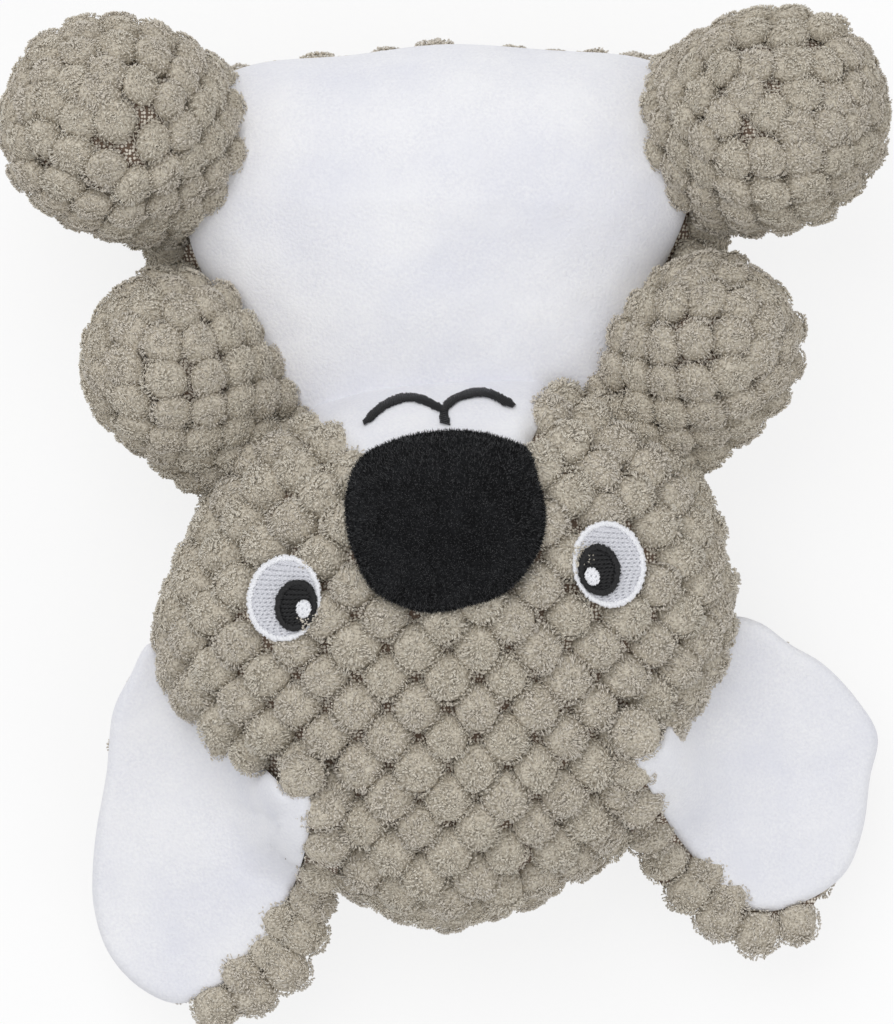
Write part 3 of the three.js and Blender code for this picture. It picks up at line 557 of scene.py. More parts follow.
class Look:
    """A Principled material and the nodes that drive it."""

    def __init__(self, name, colour, roughness, **settings):
        self.material = bpy.data.materials.new(name)
        self.material.use_nodes = True
        self.material.diffuse_color = colour
        self.tree = self.material.node_tree
        self.shader = self.tree.nodes["Principled BSDF"]
        self.shader.inputs["Base Color"].default_value = colour
        self.shader.inputs["Roughness"].default_value = roughness
        for socket, value in settings.items():
            self.shader.inputs[socket.replace("_", " ")].default_value = value
        self.place = self.tree.nodes.new("ShaderNodeTexCoord").outputs["Object"]

    def noise(self, size_mm, detail=3.0, stretch=(1, 1, 1)):
        """Noise whose grains are about this many millimetres wide."""
        mapping = self.tree.nodes.new("ShaderNodeMapping")
        mapping.inputs["Scale"].default_value = [1 / (size_mm * MM * s) for s in stretch]
        self.tree.links.new(self.place, mapping.inputs["Vector"])
        node = self.tree.nodes.new("ShaderNodeTexNoise")
        node.inputs["Scale"].default_value = 1
        node.inputs["Detail"].default_value = detail
        self.tree.links.new(mapping.outputs["Vector"], node.inputs["Vector"])
        return node.outputs["Fac"]

    def dots(self, size_mm):
        """Distance from the nearest point of a nearly regular grid."""
        node = self.tree.nodes.new("ShaderNodeTexVoronoi")
        node.inputs["Scale"].default_value = 1 / (size_mm * MM)
        node.inputs["Randomness"].default_value = 0.35
        self.tree.links.new(self.place, node.inputs["Vector"])
        return node.outputs["Distance"]

    def ramp(self, value, *stops):
        """Colours at places along a value."""
        node = self.tree.nodes.new("ShaderNodeValToRGB")
        for _ in range(len(stops) - 2):
            node.color_ramp.elements.new(0.5)
        for element, (place, colour) in zip(node.color_ramp.elements, stops):
            element.position = place
            element.color = colour
        self.tree.links.new(value, node.inputs["Fac"])
        return node.outputs["Color"]

    def mix(self, share, one, other):
        node = self.tree.nodes.new("ShaderNodeMix")
        node.data_type = "RGBA"
        self.tree.links.new(share, node.inputs["Factor"])
        for socket, value in (("A", one), ("B", other)):
            entry = next(i for i in node.inputs if i.name == socket and i.type == "RGBA")
            if isinstance(value, tuple):
                entry.default_value = value
            else:
                self.tree.links.new(value, entry)
        return next(o for o in node.outputs if o.type == "RGBA")

    def colour(self, output):
        self.tree.links.new(output, self.shader.inputs["Base Color"])
        return self

    def roughness(self, value, low, high):
        node = self.tree.nodes.new("ShaderNodeMapRange")
        node.inputs["To Min"].default_value = low
        node.inputs["To Max"].default_value = high
        self.tree.links.new(value, node.inputs["Value"])
        self.tree.links.new(node.outputs["Result"], self.shader.inputs["Roughness"])
        return self

    def bump(self, value, height_mm, strength=1.0):
        node = self.tree.nodes.new("ShaderNodeBump")
        node.inputs["Distance"].default_value = height_mm * MM
        node.inputs["Strength"].default_value = strength
        if self.shader.inputs["Normal"].is_linked:
            self.tree.links.new(self.shader.inputs["Normal"].links[0].from_socket, node.inputs["Normal"])
        self.tree.links.new(value, node.inputs["Height"])
        self.tree.links.new(node.outputs["Normal"], self.shader.inputs["Normal"])
        return self


def knit_look():
    """Brown knitted backing with rows of pale stitches."""
    look = Look("knit_backing", srgb(150, 132, 114), 0.9)
    stitches = look.dots(0.85)
    pale = look.ramp(stitches, (0.0, srgb(252, 248, 240)), (0.36, srgb(240, 232, 218)), (0.5, srgb(112, 94, 80)))
    return look.colour(pale).bump(stitches, -0.25).material


def pile_base_look():
    """The dense lower pile of a bobble, seen between its strands."""
    look = Look("pile_base", srgb(196, 187, 171), 1.0)
    grain = look.noise(0.6, 4.0)
    shaded = look.ramp(grain, (0.32, srgb(146, 137, 121)), (0.5, srgb(198, 189, 173)), (0.7, srgb(224, 217, 201)))
    return look.colour(shaded).bump(grain, 0.4).material


def strand_look(name, colour):
    return Look(name, srgb(*colour), 0.9, Sheen_Weight=0.25, Sheen_Roughness=0.5).material


def white_plush_look():
    """Short smooth plush with a soft cool white pile and broad clouds of painted bluish-grey shade."""
    look = Look("white_plush", srgb(236, 236, 240), 0.95, Sheen_Weight=0.15, Sheen_Roughness=0.6)
    pile = look.noise(0.7, 4.0)
    # Broad drift: painted shade, bluish-grey clouds placed by noise that stand in for the soft shade in hollows. It
    # also makes broad bumps.
    painted_light_drift = look.noise(22, 2.0)
    painted_light_tone = look.ramp(painted_light_drift, (0.32, srgb(226, 227, 236)), (0.66, srgb(243, 243, 245)))
    fibres = look.ramp(pile, (0.3, srgb(226, 226, 233)), (0.7, srgb(243, 243, 245)))
    return look.colour(look.mix(look.noise(9), painted_light_tone, fibres)).bump(pile, 0.2).bump(painted_light_drift, 0.8).material


def nose_plush_look():
    """Dense black plush whose pile is brushed in drifts, with painted sheen and shade in those drifts."""
    look = Look("nose_plush", srgb(25, 26, 27), 0.95, Specular_IOR_Level=0.2)
    pile = look.noise(0.5, 4.0)
    # Drifts of painted sheen and shade: noise runs the colour from near black to a lighter grey that stands in for
    # soft highlights on the brushed pile.
    painted_light_drift = look.noise(9, 2.0)
    painted_light_tone = look.ramp(painted_light_drift, (0.35, srgb(16, 16, 17)), (0.65, srgb(40, 41, 43)))
    return look.colour(look.mix(pile, painted_light_tone, srgb(27, 28, 30))).bump(pile, 0.45).bump(look.noise(3.5), 0.5).material


def thread_look(name, dark, light):
    """Silky satin-stitch thread, with painted sheen in lighter flecks along its twist."""
    look = Look(name, srgb(*light), 0.5, Specular_IOR_Level=0.3)
    # The twist noise sets roughness and small bumps, and lightens flecks of the colour as painted sheen.
    twist_and_painted_sheen = look.noise(0.3, 2.0)
    shade = look.ramp(twist_and_painted_sheen, (0.3, srgb(*dark)), (0.65, srgb(*light)))
    return look.colour(shade).roughness(twist_and_painted_sheen, 0.42, 0.66).bump(twist_and_painted_sheen, 0.05).material


def fibrefill_look():
    look = Look("fibrefill", srgb(240, 240, 236), 1.0)
    wisps = look.noise(2.5, 5.0)
    shade = look.ramp(wisps, (0.3, srgb(214, 214, 208)), (0.7, srgb(246, 246, 243)))
    return look.colour(shade).bump(wisps, 1.2).material


def plastic_look(name, colour, roughness):
    look = Look(name, srgb(*colour), roughness)
    cloud = look.noise(5, 3.0)
    worn = tuple(int(0.93 * part) for part in colour)
    shade = look.ramp(cloud, (0.35, srgb(*worn)), (0.65, srgb(*colour)))
    return look.colour(shade).roughness(look.noise(1.2), roughness - 0.07, roughness + 0.1).bump(cloud, 0.06).material


knit = knit_look()
pile_base = pile_base_look()
strands_warm = [
    strand_look("strand_warm_deep", (210, 202, 186)),
    strand_look("strand_warm", (220, 212, 197)),
    strand_look("strand_warm_pale", (230, 223, 208)),
]
strands_cool = [
    strand_look("strand_cool_deep", (207, 199, 185)),
    strand_look("strand_cool", (217, 209, 195)),
    strand_look("strand_cool_pale", (228, 220, 207)),
]
white_plush = white_plush_look()
nose_plush = nose_plush_look()
nose_pale = strand_look("nose_pile_pale", (36, 37, 40))
black_thread = thread_look("black_thread", (9, 9, 10), (36, 36, 38))
white_thread = thread_look("white_thread", (226, 227, 232), (250, 250, 252))
grey_thread = thread_look("white_thread_filling", (198, 199, 205), (234, 234, 239))
fibrefill = fibrefill_look()
soft_plastic = plastic_look("soft_plastic", (232, 232, 226), 0.45)
hard_plastic = plastic_look("hard_plastic", (216, 216, 212), 0.32)


# Bobbles of pile

def cushion(way, lumps):
    """Points of a bobble's skin in the given directions, in shares of its radius and height."""
    power = 2.6
    plan = np.linalg.norm(way[:, :2], axis=1)
    reach = (plan**power + np.abs(way[:, 2]) ** power) ** (-1 / power)
    swell = 0.05 * waves(way, 1.5, lumps) + 0.02 * waves(way, 0.6, lumps + 1)
    # The pile parts along squiggly creases.
    crease = np.clip(1 - np.abs(waves(way, 0.95, lumps + 2)) / CREASE_WIDTH, 0, 1)
    return way * (reach * (1 + swell - CREASE_DEPTH * crease))[:, None]


def tuft(strands, spin):
    """The strands of one bobble: points in shares of its size. They lie over it like short locks."""
    k = np.arange(strands)
    turn = k * GOLDEN_ANGLE + spin.normal(scale=0.1, size=strands)
    polar = TUFT_LOW_POLAR * ((k + 0.5) / strands) ** 0.78
    polar += spin.normal(scale=0.5 / math.sqrt(strands), size=strands)
    way = direction(np.clip(polar, 0, 1.8), turn)
    # Neighbouring strands lean the same way, in small locks, and on the whole down the bobble.
    locks = way[spin.choice(strands, strands // STRANDS_PER_LOCK, replace=False)]
    lock = np.argmax(way @ locks.T, axis=1)
    downhill = way * way[:, 2:] - UP
    downhill /= np.maximum(np.linalg.norm(downhill, axis=1), 0.3)[:, None]
    lean = LOCK_LEAN * spin.uniform(-1, 1, locks.shape)[lock] + STRAND_LEAN * spin.uniform(-1, 1, way.shape)
    lean += COMB_LEAN * downhill
    lean -= np.sum(lean * way, axis=1)[:, None] * way
    tip = way + lean
    tip /= np.linalg.norm(tip, axis=1)[:, None]
    lumps = int(spin.integers(1 << 30))
    length = 1 + spin.uniform(-0.05, 0.05, len(locks))[lock] + spin.uniform(-0.02, 0.02, strands)
    tips = cushion(tip, lumps) * length[:, None]
    # Strands at the bobble's rim lie closer to it.
    depth = (1 - ROOT_SHARE) * (1 - RIM_CLOSENESS * (1 - way[:, 2] ** 2))
    roots = cushion(way, lumps) * (1 - depth)[:, None]
    along = tips - roots
    side = np.cross(along, tip)
    side /= np.linalg.norm(side, axis=1)[:, None]
    other = np.cross(along, side)
    other /= np.linalg.norm(other, axis=1)[:, None]
    half = STRAND_WIDTH / BOBBLE_RADIUS / 2 * spin.uniform(0.75, 1.25, strands)
    corners = [
        tips + half[:, None] * (math.cos(a) * side + math.sin(a) * other)
        for a in (0, 2 * math.pi / 3, 4 * math.pi / 3)
    ]
    return np.stack([roots, *corners], axis=1)


def direction(polar, turn):
    return np.column_stack([np.sin(polar) * np.cos(turn), np.sin(polar) * np.sin(turn), np.cos(polar)])


def core(around=18, rows=8):
    """A cushion that fills a bobble below its strand tips, closed underneath."""
    turn = 2 * np.pi * np.arange(around) / around
    ways = [[0.0, 0.0, 1.0]]
    for row in range(1, rows + 1):
        ways += list(direction(np.full(around, (np.pi / 2) * row / rows), turn))
    points = np.vstack([cushion(np.array(ways), 5), [[0, 0, -0.1]]])
    here = np.arange(around)
    ahead = (here + 1) % around
    fan = np.column_stack([np.zeros(around, int), 1 + here, 1 + ahead])
    last = len(points) - 1
    end_fan = np.column_stack([np.full(around, last), last - around + ahead, last - around + here])
    return points, ring_faces(around, rows, 1)[:, ::-1], np.vstack([fan, end_fan])


CORE_SHARE = 0.89
LEAN_SHARE = 0.2
TILT_SHARE = 0.12
full_tufts = [tuft(TUFT_STRANDS, rng) for _ in range(TUFT_KINDS)]
hidden_tufts = [tuft(HIDDEN_TUFT_STRANDS, rng) for _ in range(TUFT_KINDS)]
STRAND_FACES = np.array([[0, 2, 1], [0, 3, 2], [0, 1, 3], [1, 2, 3]])


class Seeds:
    """Places of bobbles on a backing: feet, upright directions and the way each one leans."""

    def __init__(self, feet, normals, downhill):
        self.feet = feet
        self.normals = normals
        aside = downhill - np.sum(downhill * normals, axis=1)[:, None] * normals
        length = np.linalg.norm(aside, axis=1)
        aside[length < 1e-6] = np.cross(normals[length < 1e-6], [0.3, 0.9, 0.1])
        self.lean = aside / np.linalg.norm(aside, axis=1)[:, None]

    def chosen(self, keep):
        return Seeds(self.feet[keep], self.normals[keep], self.lean[keep])


def settle(points, tree, pitch, rounds):
    """Pushes crowded points apart over a surface, and gives their feet and normals."""
    feet = points.copy()
    for _ in range(rounds):
        apart = feet[:, None] - feet[None]
        distance = np.linalg.norm(apart, axis=2) + np.eye(len(feet)) * 1e3
        crowd = np.clip(pitch - distance, 0, None) / distance
        feet, normals = on_surface(feet + 0.22 * np.sum(apart * crowd[:, :, None], axis=1), tree)
    return feet, normals


def on_surface(points, tree):
    """The nearest points of a surface and its normals there."""
    found = [tree.find_nearest(Vector(p)) for p in points]
    return np.array([tuple(f[0]) for f in found]), np.array([tuple(f[1]) for f in found])


def spaced(points, least):
    """The points, in their order, that keep their distance from those before them."""
    kept = []
    for i, point in enumerate(points):
        if not kept or np.min(np.linalg.norm(points[kept] - point, axis=1)) >= least:
            kept.append(i)
    return points[kept]


ROW_PITCH = BOBBLE_PITCH / math.sqrt(2)
FULL_SPACING_SHARE = 0.8
SETTLED_SHARE = 0.97
FILL_SHARE = 0.72
LIMB_FILL_SHARE = 0.7


def diamond_lattice(reach, step_share=1.0):
    """Plan places of a diamond pattern out to a reach, nearest first."""
    count = int(reach / ROW_PITCH) + 1
    rows, columns = np.meshgrid(np.arange(-count, count + 1), np.arange(-count, count + 1))
    chosen = (rows + columns) % 2 == 0
    places = np.column_stack([columns[chosen], rows[chosen]]) * ROW_PITCH * step_share
    distance = np.linalg.norm(places, axis=1)
    order = np.argsort(distance, kind="stable")
    return places[order][distance[order] < reach]


def pillow_seeds(form, tree, is_bare):
    """Bobbles over a pillow form, in a diamond pattern unrolled from its high pole."""
    around, rows = 120, 90
    turn = np.arange(around) / around
    grid = np.stack([form.at(turn, np.full(around, d), -BACKING_DEPTH) for d in np.linspace(0, 2, rows)])
    steps = np.linalg.norm(np.diff(grid, axis=0), axis=2)
    arcs = np.vstack([np.zeros(around), np.cumsum(steps, axis=0)])
    compass = np.unwrap(np.arctan2(*(form.rim[::-1, ::-1] - form.high_spot[::-1]).T))[::-1]
    compass = np.interp(turn * len(form.rim), np.arange(len(form.rim)), compass)
    places = []
    for x, y in diamond_lattice(arcs[-1].max()):
        wanted = math.atan2(y, x)
        column = int(np.argmin(np.abs(np.angle(np.exp(1j * (compass - wanted))))))
        run = math.hypot(x, y)
        if run > arcs[-1, column]:
            continue
        row = np.interp(run, arcs[:, column], np.arange(rows))
        low = int(row)
        high = min(low + 1, rows - 1)
        places.append(grid[low, column] + (row - low) * (grid[high, column] - grid[low, column]))
    places = spaced(np.array(places), FULL_SPACING_SHARE * BOBBLE_PITCH)
    return filled_seeds(places, tree, grid.reshape(-1, 3), grid[0, 0], is_bare)


def filled_seeds(points, tree, candidates, pole, is_bare, pitch=BOBBLE_PITCH, fill_share=FILL_SHARE):
    """Settled bobbles, with more where the pattern left gaps, but none where it stays bare."""
    candidates = candidates[~is_bare(candidates)]
    for rounds in (12, 4):
        points, _ = settle(points, tree, SETTLED_SHARE * pitch, rounds)
        points = filled(points[~is_bare(points)], candidates, fill_share * pitch)
    feet, normals = on_surface(points, tree)
    return Seeds(feet, normals, feet - pole)


def filled(points, candidates, least):
    """The points, with candidates in their gaps, widest first, down to a least distance."""
    nearest = np.min(np.linalg.norm(candidates[:, None] - points[None], axis=2), axis=1)
    while nearest.max() > least:
        pick = candidates[np.argmax(nearest)]
        points = np.vstack([points, pick])
        nearest = np.minimum(nearest, np.linalg.norm(candidates - pick, axis=1))
    return points


def limb_seeds(form, tree, is_bare):
    """Bobbles round a limb in staggered rings, closer round its tip."""
    line = form.line(-LIMB_BACKING_DEPTH)
    runs = np.concatenate([[0], np.cumsum(np.linalg.norm(np.diff(line, axis=0), axis=1))])
    row_pitch = LIMB_PITCH / math.sqrt(2)
    places = []
    for row in range(int(runs[-1] / row_pitch) + 1):
        run = (row + 0.35) * row_pitch
        along = np.interp(run, runs, line[:, 0])
        reach = np.interp(run, runs, line[:, 1])
        gap = LIMB_PITCH * (1 + (math.sqrt(2) - 1) * min(1, reach / form.size["radius"]))
        count = max(2, round(2 * math.pi * reach / gap))
        turn = 2 * np.pi * (np.arange(count) + 0.5 * (row % 2)) / count + 0.02 * row
        places += list(form.ring(along, np.full(count, reach), turn))
    points = spaced(np.array(places), 0.72 * LIMB_PITCH)
    around = 48
    candidates = np.vstack([
        form.ring(along, np.full(around, reach), 2 * np.pi * np.arange(around) / around) for along, reach in line
    ])
    root = form.root + form.direction * line[-1, 0]
    return filled_seeds(points, tree, candidates, root, is_bare, LIMB_PITCH, LIMB_FILL_SHARE)


def grow_bobbles(name, seeds, spin, size_share):
    """Two objects: the strands of the bobbles, and the low domes that fill them."""
    count = len(seeds.feet)
    across = np.cross(seeds.normals, seeds.lean)
    axes = np.stack([seeds.lean, across, seeds.normals], axis=2)
    out_of_sight = (seeds.normals[:, 2] < -0.55) & (seeds.feet[:, 2] < 16)
    wide = BOBBLE_RADIUS * size_share * spin.uniform(0.94, 1.08, count)
    tall = BOBBLE_HEIGHT * size_share * spin.uniform(0.9, 1.12, count)
    spins = spin.uniform(0, 2 * np.pi, count)
    cool = spin.uniform(size=count) < 0.5
    core_points, core_quads, core_fans = core()
    points, picks, domes, quads, fans = [], [], [], [], []
    for i in range(count):
        kinds = hidden_tufts if out_of_sight[i] else full_tufts
        strands = kinds[i % TUFT_KINDS]
        turn = np.array([
            [math.cos(spins[i]), -math.sin(spins[i]), 0],
            [math.sin(spins[i]), math.cos(spins[i]), 0],
            [0, 0, 1],
        ])
        size = np.array([wide[i], wide[i], tall[i]])
        local = strands @ turn.T * size
        local[..., 0] += LEAN_SHARE * np.maximum(local[..., 2], 0)
        local[..., 2] += TILT_SHARE * local[..., 0]
        points.append(seeds.feet[i] + local @ axes[i].T)
        shade = spin.choice(3, len(strands), p=[0.3, 0.42, 0.28])
        picks.append(np.repeat(shade + (3 if cool[i] else 0), 4))
        dome = core_points * size * CORE_SHARE
        dome[:, 0] += LEAN_SHARE * dome[:, 2]
        dome[:, 2] += TILT_SHARE * dome[:, 0]
        quads.append(core_quads + i * len(core_points))
        fans.append(core_fans + i * len(core_points))
        domes.append(seeds.feet[i] + dome @ axes[i].T)
    points = np.concatenate(points).reshape(-1, 3)
    points[:, 2] = np.maximum(points[:, 2], FLOOR_CLEARANCE + 0.3 * spin.uniform(size=len(points)))
    faces = (4 * np.arange(len(points) // 4)[:, None, None] + STRAND_FACES).reshape(-1, 3)
    pile = make_object(name, points, [faces], strands_warm + strands_cool, np.concatenate(picks))
    domes = np.concatenate(domes)
    domes[:, 2] = np.maximum(domes[:, 2], 2 * FLOOR_CLEARANCE)
    cores = make_object(name + "_cores", domes, [np.concatenate(quads), np.concatenate(fans)], [pile_base])
    return pile, cores


def dress(name, backing, seeds, spin, size_share=1.0):
    """Grows bobbles on a backing and returns their strands. The backing gets their low domes."""
    pile, cores = grow_bobbles(name, seeds, spin, size_share)
    backing.data.materials.append(pile_base)
    join(backing, cores)
    return pile


# Body

AROUND = 144
BELLY_EDGE_DROP = 3.0
SIDE_BARE_SHARE = 0.02
CROTCH_BARE_SHARE = 0.07


def belly_edge_depth(turn_share):
    """The depth of the belly panel's seam: inset from the rim, but at the rim between the legs."""
    rim = body_form.at(turn_share, np.ones(len(turn_share)))[:, :2]
    reach = np.linalg.norm(rim - body_form.high_spot, axis=1)
    inset = BELLY_INSET * (1 - smooth_step(rim[:, 1], CROTCH_Y - 24, CROTCH_Y - 9))
    out = 1 - inset / reach
    return 1 - np.arccos(out ** (body_form.fullness / 2)) / (np.pi / 2)


def form_poles(form, grow):
    poles = form.at(np.zeros(2), np.array([0.0, 2.0]), grow)
    return poles[0], poles[1]


def form_rings(form, grow, around=96, rows=40):
    return form.rings(around, np.linspace(0, 2, rows + 2)[1:-1], grow)


def make_belly():
    """The smooth white panel, tucked in along its seam."""
    turn = np.arange(AROUND) / AROUND
    edge = belly_edge_depth(turn)
    shares = np.linspace(0, 1, 60)[1:]

    def face(grow, tuck):
        rings = []
        for share in shares:
            ring = body_form.at(turn, edge * share, grow - tuck * share**14)
            ring[:, 2] += 0.45 * waves(ring, 34, 3) + 0.12 * waves(ring, 7, 4)
            rings.append(ring)
        return rings

    pole = form_poles(body_form, 0)[0]
    outer = face(0, BELLY_EDGE_DROP)
    inner = face(-PLUSH_THICKNESS, BELLY_EDGE_DROP - 0.4)
    belly = shell_body(
        "belly_plush", outer[0].mean(0), outer, inner, inner[0].mean(0), [white_plush]
    )
    cut_away(belly, form_rings(head_form, -6), form_poles(head_form, -6))
    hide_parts("belly_panel")
    return belly


def make_back():
    """The bobbled panel that wraps the back and sides."""
    turn = np.arange(AROUND) / AROUND
    edge = np.minimum(belly_edge_depth(turn) + 0.01, 1.0)
    shares = np.linspace(0, 1, 60)[:-1]

    def face(grow):
        return [body_form.at(turn, 2 - (2 - edge) * (1 - share), grow) for share in shares]

    low = form_poles(body_form, -BACKING_DEPTH)[1]
    inner_low = form_poles(body_form, -BACKING_DEPTH - BACKING_THICKNESS)[1]
    outer = face(-BACKING_DEPTH)
    inner = face(-BACKING_DEPTH - BACKING_THICKNESS)
    back = shell_body("back_knit", low, outer[::-1], inner[::-1], inner_low, [knit])
    tree = surface_tree(back)
    cut_away(back, form_rings(head_form, -8), form_poles(head_form, -8))
    whole = ring_body(
        "body_whole", *_poles_and_rings(body_form, -BACKING_DEPTH), [knit]
    )
    whole_tree = surface_tree(whole)
    bpy.data.objects.remove(whole)

    def is_bare(feet):
        share, depth = skin_place(body_form, feet)
        between_legs = smooth_step(feet[:, 1], CROTCH_Y - 24, CROTCH_Y - 9)
        margin = SIDE_BARE_SHARE + (CROTCH_BARE_SHARE - SIDE_BARE_SHARE) * between_legs
        bare = (depth <= belly_edge_depth(share) + margin) | head_form.holds(feet, -6)
        for limb in limb_forms:
            bare |= limb.holds(feet, -8)
        return bare

    pile = dress("back_bobbles", back, pillow_seeds(body_form, whole_tree, is_bare), np.random.default_rng(21))
    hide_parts("back_panel")
    return back, pile


def _poles_and_rings(form, grow):
    high, low = form_poles(form, grow)
    return high, form_rings(form, grow), low


def skin_place(form, points):
    """(turn share, depth) of points on the backing of a form."""
    share, depth = form.chart(points[:, :2])
    below = points[:, 2] < form.seam
    return share, np.where(below, 2 - depth, depth)


# Head

MUZZLE_SHARES = [
    [-0.32, 0.165], [0.27, 0.15], [0.295, 0.096], [0.355, 0.035], [0.485, -0.09],
    [-0.735, -0.09], [-0.53, 0.065], [-0.37, 0.12],
]
NOSE_SHARES = [
    [-0.06, 1], [-0.45, 0.92], [-0.84, 0.71], [-0.97, 0.42], [-1, 0.1], [-0.93, -0.3],
    [-0.72, -0.74], [-0.45, -0.92], [-0.15, -1], [0.25, -0.92], [0.6, -0.78], [0.84, -0.5],
    [0.98, -0.2], [1, 0.15], [0.93, 0.48], [0.83, 0.8], [0.55, 0.93], [0.25, 1],
]
EYES = [
    {"side": "left", "white": (-0.547, 0.4), "pupil": (-0.506, 0.412), "glint": (-0.479, 0.418), "lean": -12},
    {"side": "right", "white": (0.543, 0.34), "pupil": (0.51, 0.35), "glint": (0.485, 0.361), "lean": 12},
]
MOUTH_LINES = [
    [[-0.28, 0.09], [-0.2, 0.055], [-0.11, 0.045], [-0.005, 0.07]],
    [[-0.02, 0.068], [0.04, 0.044], [0.13, 0.036], [0.23, 0.062]],
    [[-0.012, 0.064], [-0.008, 0.085], [-0.006, 0.096]],
]
muzzle_plan = anticlockwise(np.array([head_spot(*share) for share in MUZZLE_SHARES]))
nose_plan = smooth_outline(nose_spot + np.array(NOSE_SHARES) * [NOSE_WIDTH / 2, NOSE_LENGTH / 2], 120)


def make_head_backing(name, first_depth, last_depth, replaced):
    depths = np.linspace(first_depth, last_depth, 46)
    depths = depths[1:] if first_depth == 0 else depths[:-1]
    outer = head_form.rings(AROUND, depths, -BACKING_DEPTH)
    inner = head_form.rings(AROUND, depths, -BACKING_DEPTH - BACKING_THICKNESS)
    pole = 0 if first_depth == 0 else 1
    if pole:
        outer, inner = outer[::-1], inner[::-1]
    ends = [form_poles(head_form, -BACKING_DEPTH - more)[pole] for more in (0, BACKING_THICKNESS)]
    backing = shell_body(name, ends[0], outer, inner, ends[1], [knit])
    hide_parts(replaced)
    return backing


def make_head():
    """The two bobbled panels of the head, whose bobbles leave room for the face."""
    front = make_head_backing("head_front_knit", 0, 1, "head_front_panel")
    back = make_head_backing("head_back_knit", 1, 2, "head_back_panel")
    whole = ring_body("head_whole", *_poles_and_rings(head_form, -BACKING_DEPTH), [knit])
    tree = surface_tree(whole)
    bpy.data.objects.remove(whole)
    patches = [grown_outline(muzzle_plan, 1.6), grown_outline(anticlockwise(nose_plan), -1.5)]
    for eye in EYES:
        patches.append(ellipse_outline(head_spot(*eye["white"]), np.array(EYE_SIZE) + 2.8, eye["lean"], 40))

    patches += [ear_form.lining for ear_form in ear_forms]

    def is_bare(feet):
        covered = np.any([inside_outline(feet[:, :2], patch) for patch in patches], axis=0)
        for ear_form in ear_forms:
            covered |= ear_form.beside_fold(feet[:, :2])[0] < FOLD_HALF_WIDTH + FOLD_ROOM
        return (feet[:, 2] > HEAD_SEAM) & covered | body_form.holds(feet, -7)

    seeds = pillow_seeds(head_form, tree, is_bare)
    faces_up = seeds.feet[:, 2] > HEAD_SEAM
    spin = np.random.default_rng(22)
    left = seeds.feet[:, 0] < 0
    piles = []
    for name, backing, keep in (
        ("head_front_bobbles_left", front, faces_up & left),
        ("head_front_bobbles_right", front, faces_up & ~left),
        ("head_back_bobbles", back, ~faces_up),
    ):
        piles.append(dress(name, backing, seeds.chosen(keep), spin))
    return [front, back, *piles]


def face_point(plan, rise):
    """Points at a height over the face, which follow it."""
    return np.column_stack([plan, head_form.top(plan) + rise])


def make_muzzle():
    """The smooth white wedge between the cheeks."""
    share, depth = head_form.chart(resampled(muzzle_plan, 1.5))
    depth = np.minimum(depth, 1)
    turn = 2 * np.pi * share
    outline = depth[:, None] * np.column_stack([np.cos(turn), np.sin(turn)])
    outline = spaced(outline, 0.004)

    def face(rise):
        def lifted(flat):
            out = np.linalg.norm(flat, axis=1)
            turns = np.arctan2(flat[:, 1], flat[:, 0]) / (2 * np.pi)
            surface = head_form.at(turns, np.clip(out, 0, 1))
            edge = outline_distance(surface[:, :2], muzzle_plan)
            tuck = 3.2 * (1 - smooth_step(edge, 0, 4.5)) ** 1.5
            under = head_form.at(turns, np.clip(out, 0, 1), -4.0)
            way = (surface - under) / 4.0
            bumpy = 0.15 * waves(surface, 9, 5)
            return surface + way * (rise - tuck + bumpy)[:, None]
        return lifted

    muzzle = sheet_body("muzzle_plush", outline, 0.02, face(-0.2), face(-0.2 - PLUSH_THICKNESS), [white_plush])
    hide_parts("muzzle_patch")
    return muzzle


def resampled(outline, spacing):
    length = np.sum(np.linalg.norm(np.roll(outline, -1, 0) - outline, axis=1))
    return even_steps(np.vstack([outline, outline[:1]]), int(length / spacing))


def nose_rise(plan):
    """Height of the padded nose over the face, with the small dart at its crown side."""
    inward = outline_distance(plan, nose_plan)
    dome = np.sqrt(np.clip(1 - (1 - np.clip(inward / 9, 0, 1)) ** 2, 0, 1))
    low_end = nose_plan[np.argmin(nose_plan[:, 1])]
    away = plan - low_end
    dart = 1.6 * np.exp(-(away[:, 0] / 1.1) ** 2) * np.exp(-(np.clip(away[:, 1], 0, None) / 4.0) ** 2)
    return 0.4 + (NOSE_RISE - 0.4) * dome - dart + 0.25 * waves(plan, 8, 6)


def make_nose():
    """The padded black nose and its pile."""
    nose = sheet_body(
        "nose_plush", nose_plan, 0.9,
        lambda plan: face_point(plan, nose_rise(plan)),
        lambda plan: face_point(plan, -1.5),
        [nose_plush],
    )
    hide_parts("nose")
    spin = np.random.default_rng(23)
    low, high = nose_plan.min(0), nose_plan.max(0)
    plan = spin.uniform(low, high, (24000, 2))
    plan = plan[inside_outline(plan, nose_plan)]
    plan = np.vstack([plan, resampled(grown_outline(anticlockwise(nose_plan), -0.3), NOSE_RIM_STEP)])
    fuzz = short_pile(
        "nose_pile", face_point(plan, nose_rise(plan) - 0.25), away_from_face(plan), NOSE_PILE_LENGTH, 0.3,
        [nose_plush, nose_pale], spin,
    )
    return nose, fuzz


def away_from_face(plan):
    """Directions square to the padded nose."""
    step = 0.5
    height = lambda p: head_form.top(p) + nose_rise(p)
    slope_x = (height(plan + [step, 0]) - height(plan - [step, 0])) / (2 * step)
    slope_y = (height(plan + [0, step]) - height(plan - [0, step])) / (2 * step)
    normal = np.column_stack([-slope_x, -slope_y, np.ones(len(plan))])
    return normal / np.linalg.norm(normal, axis=1)[:, None]


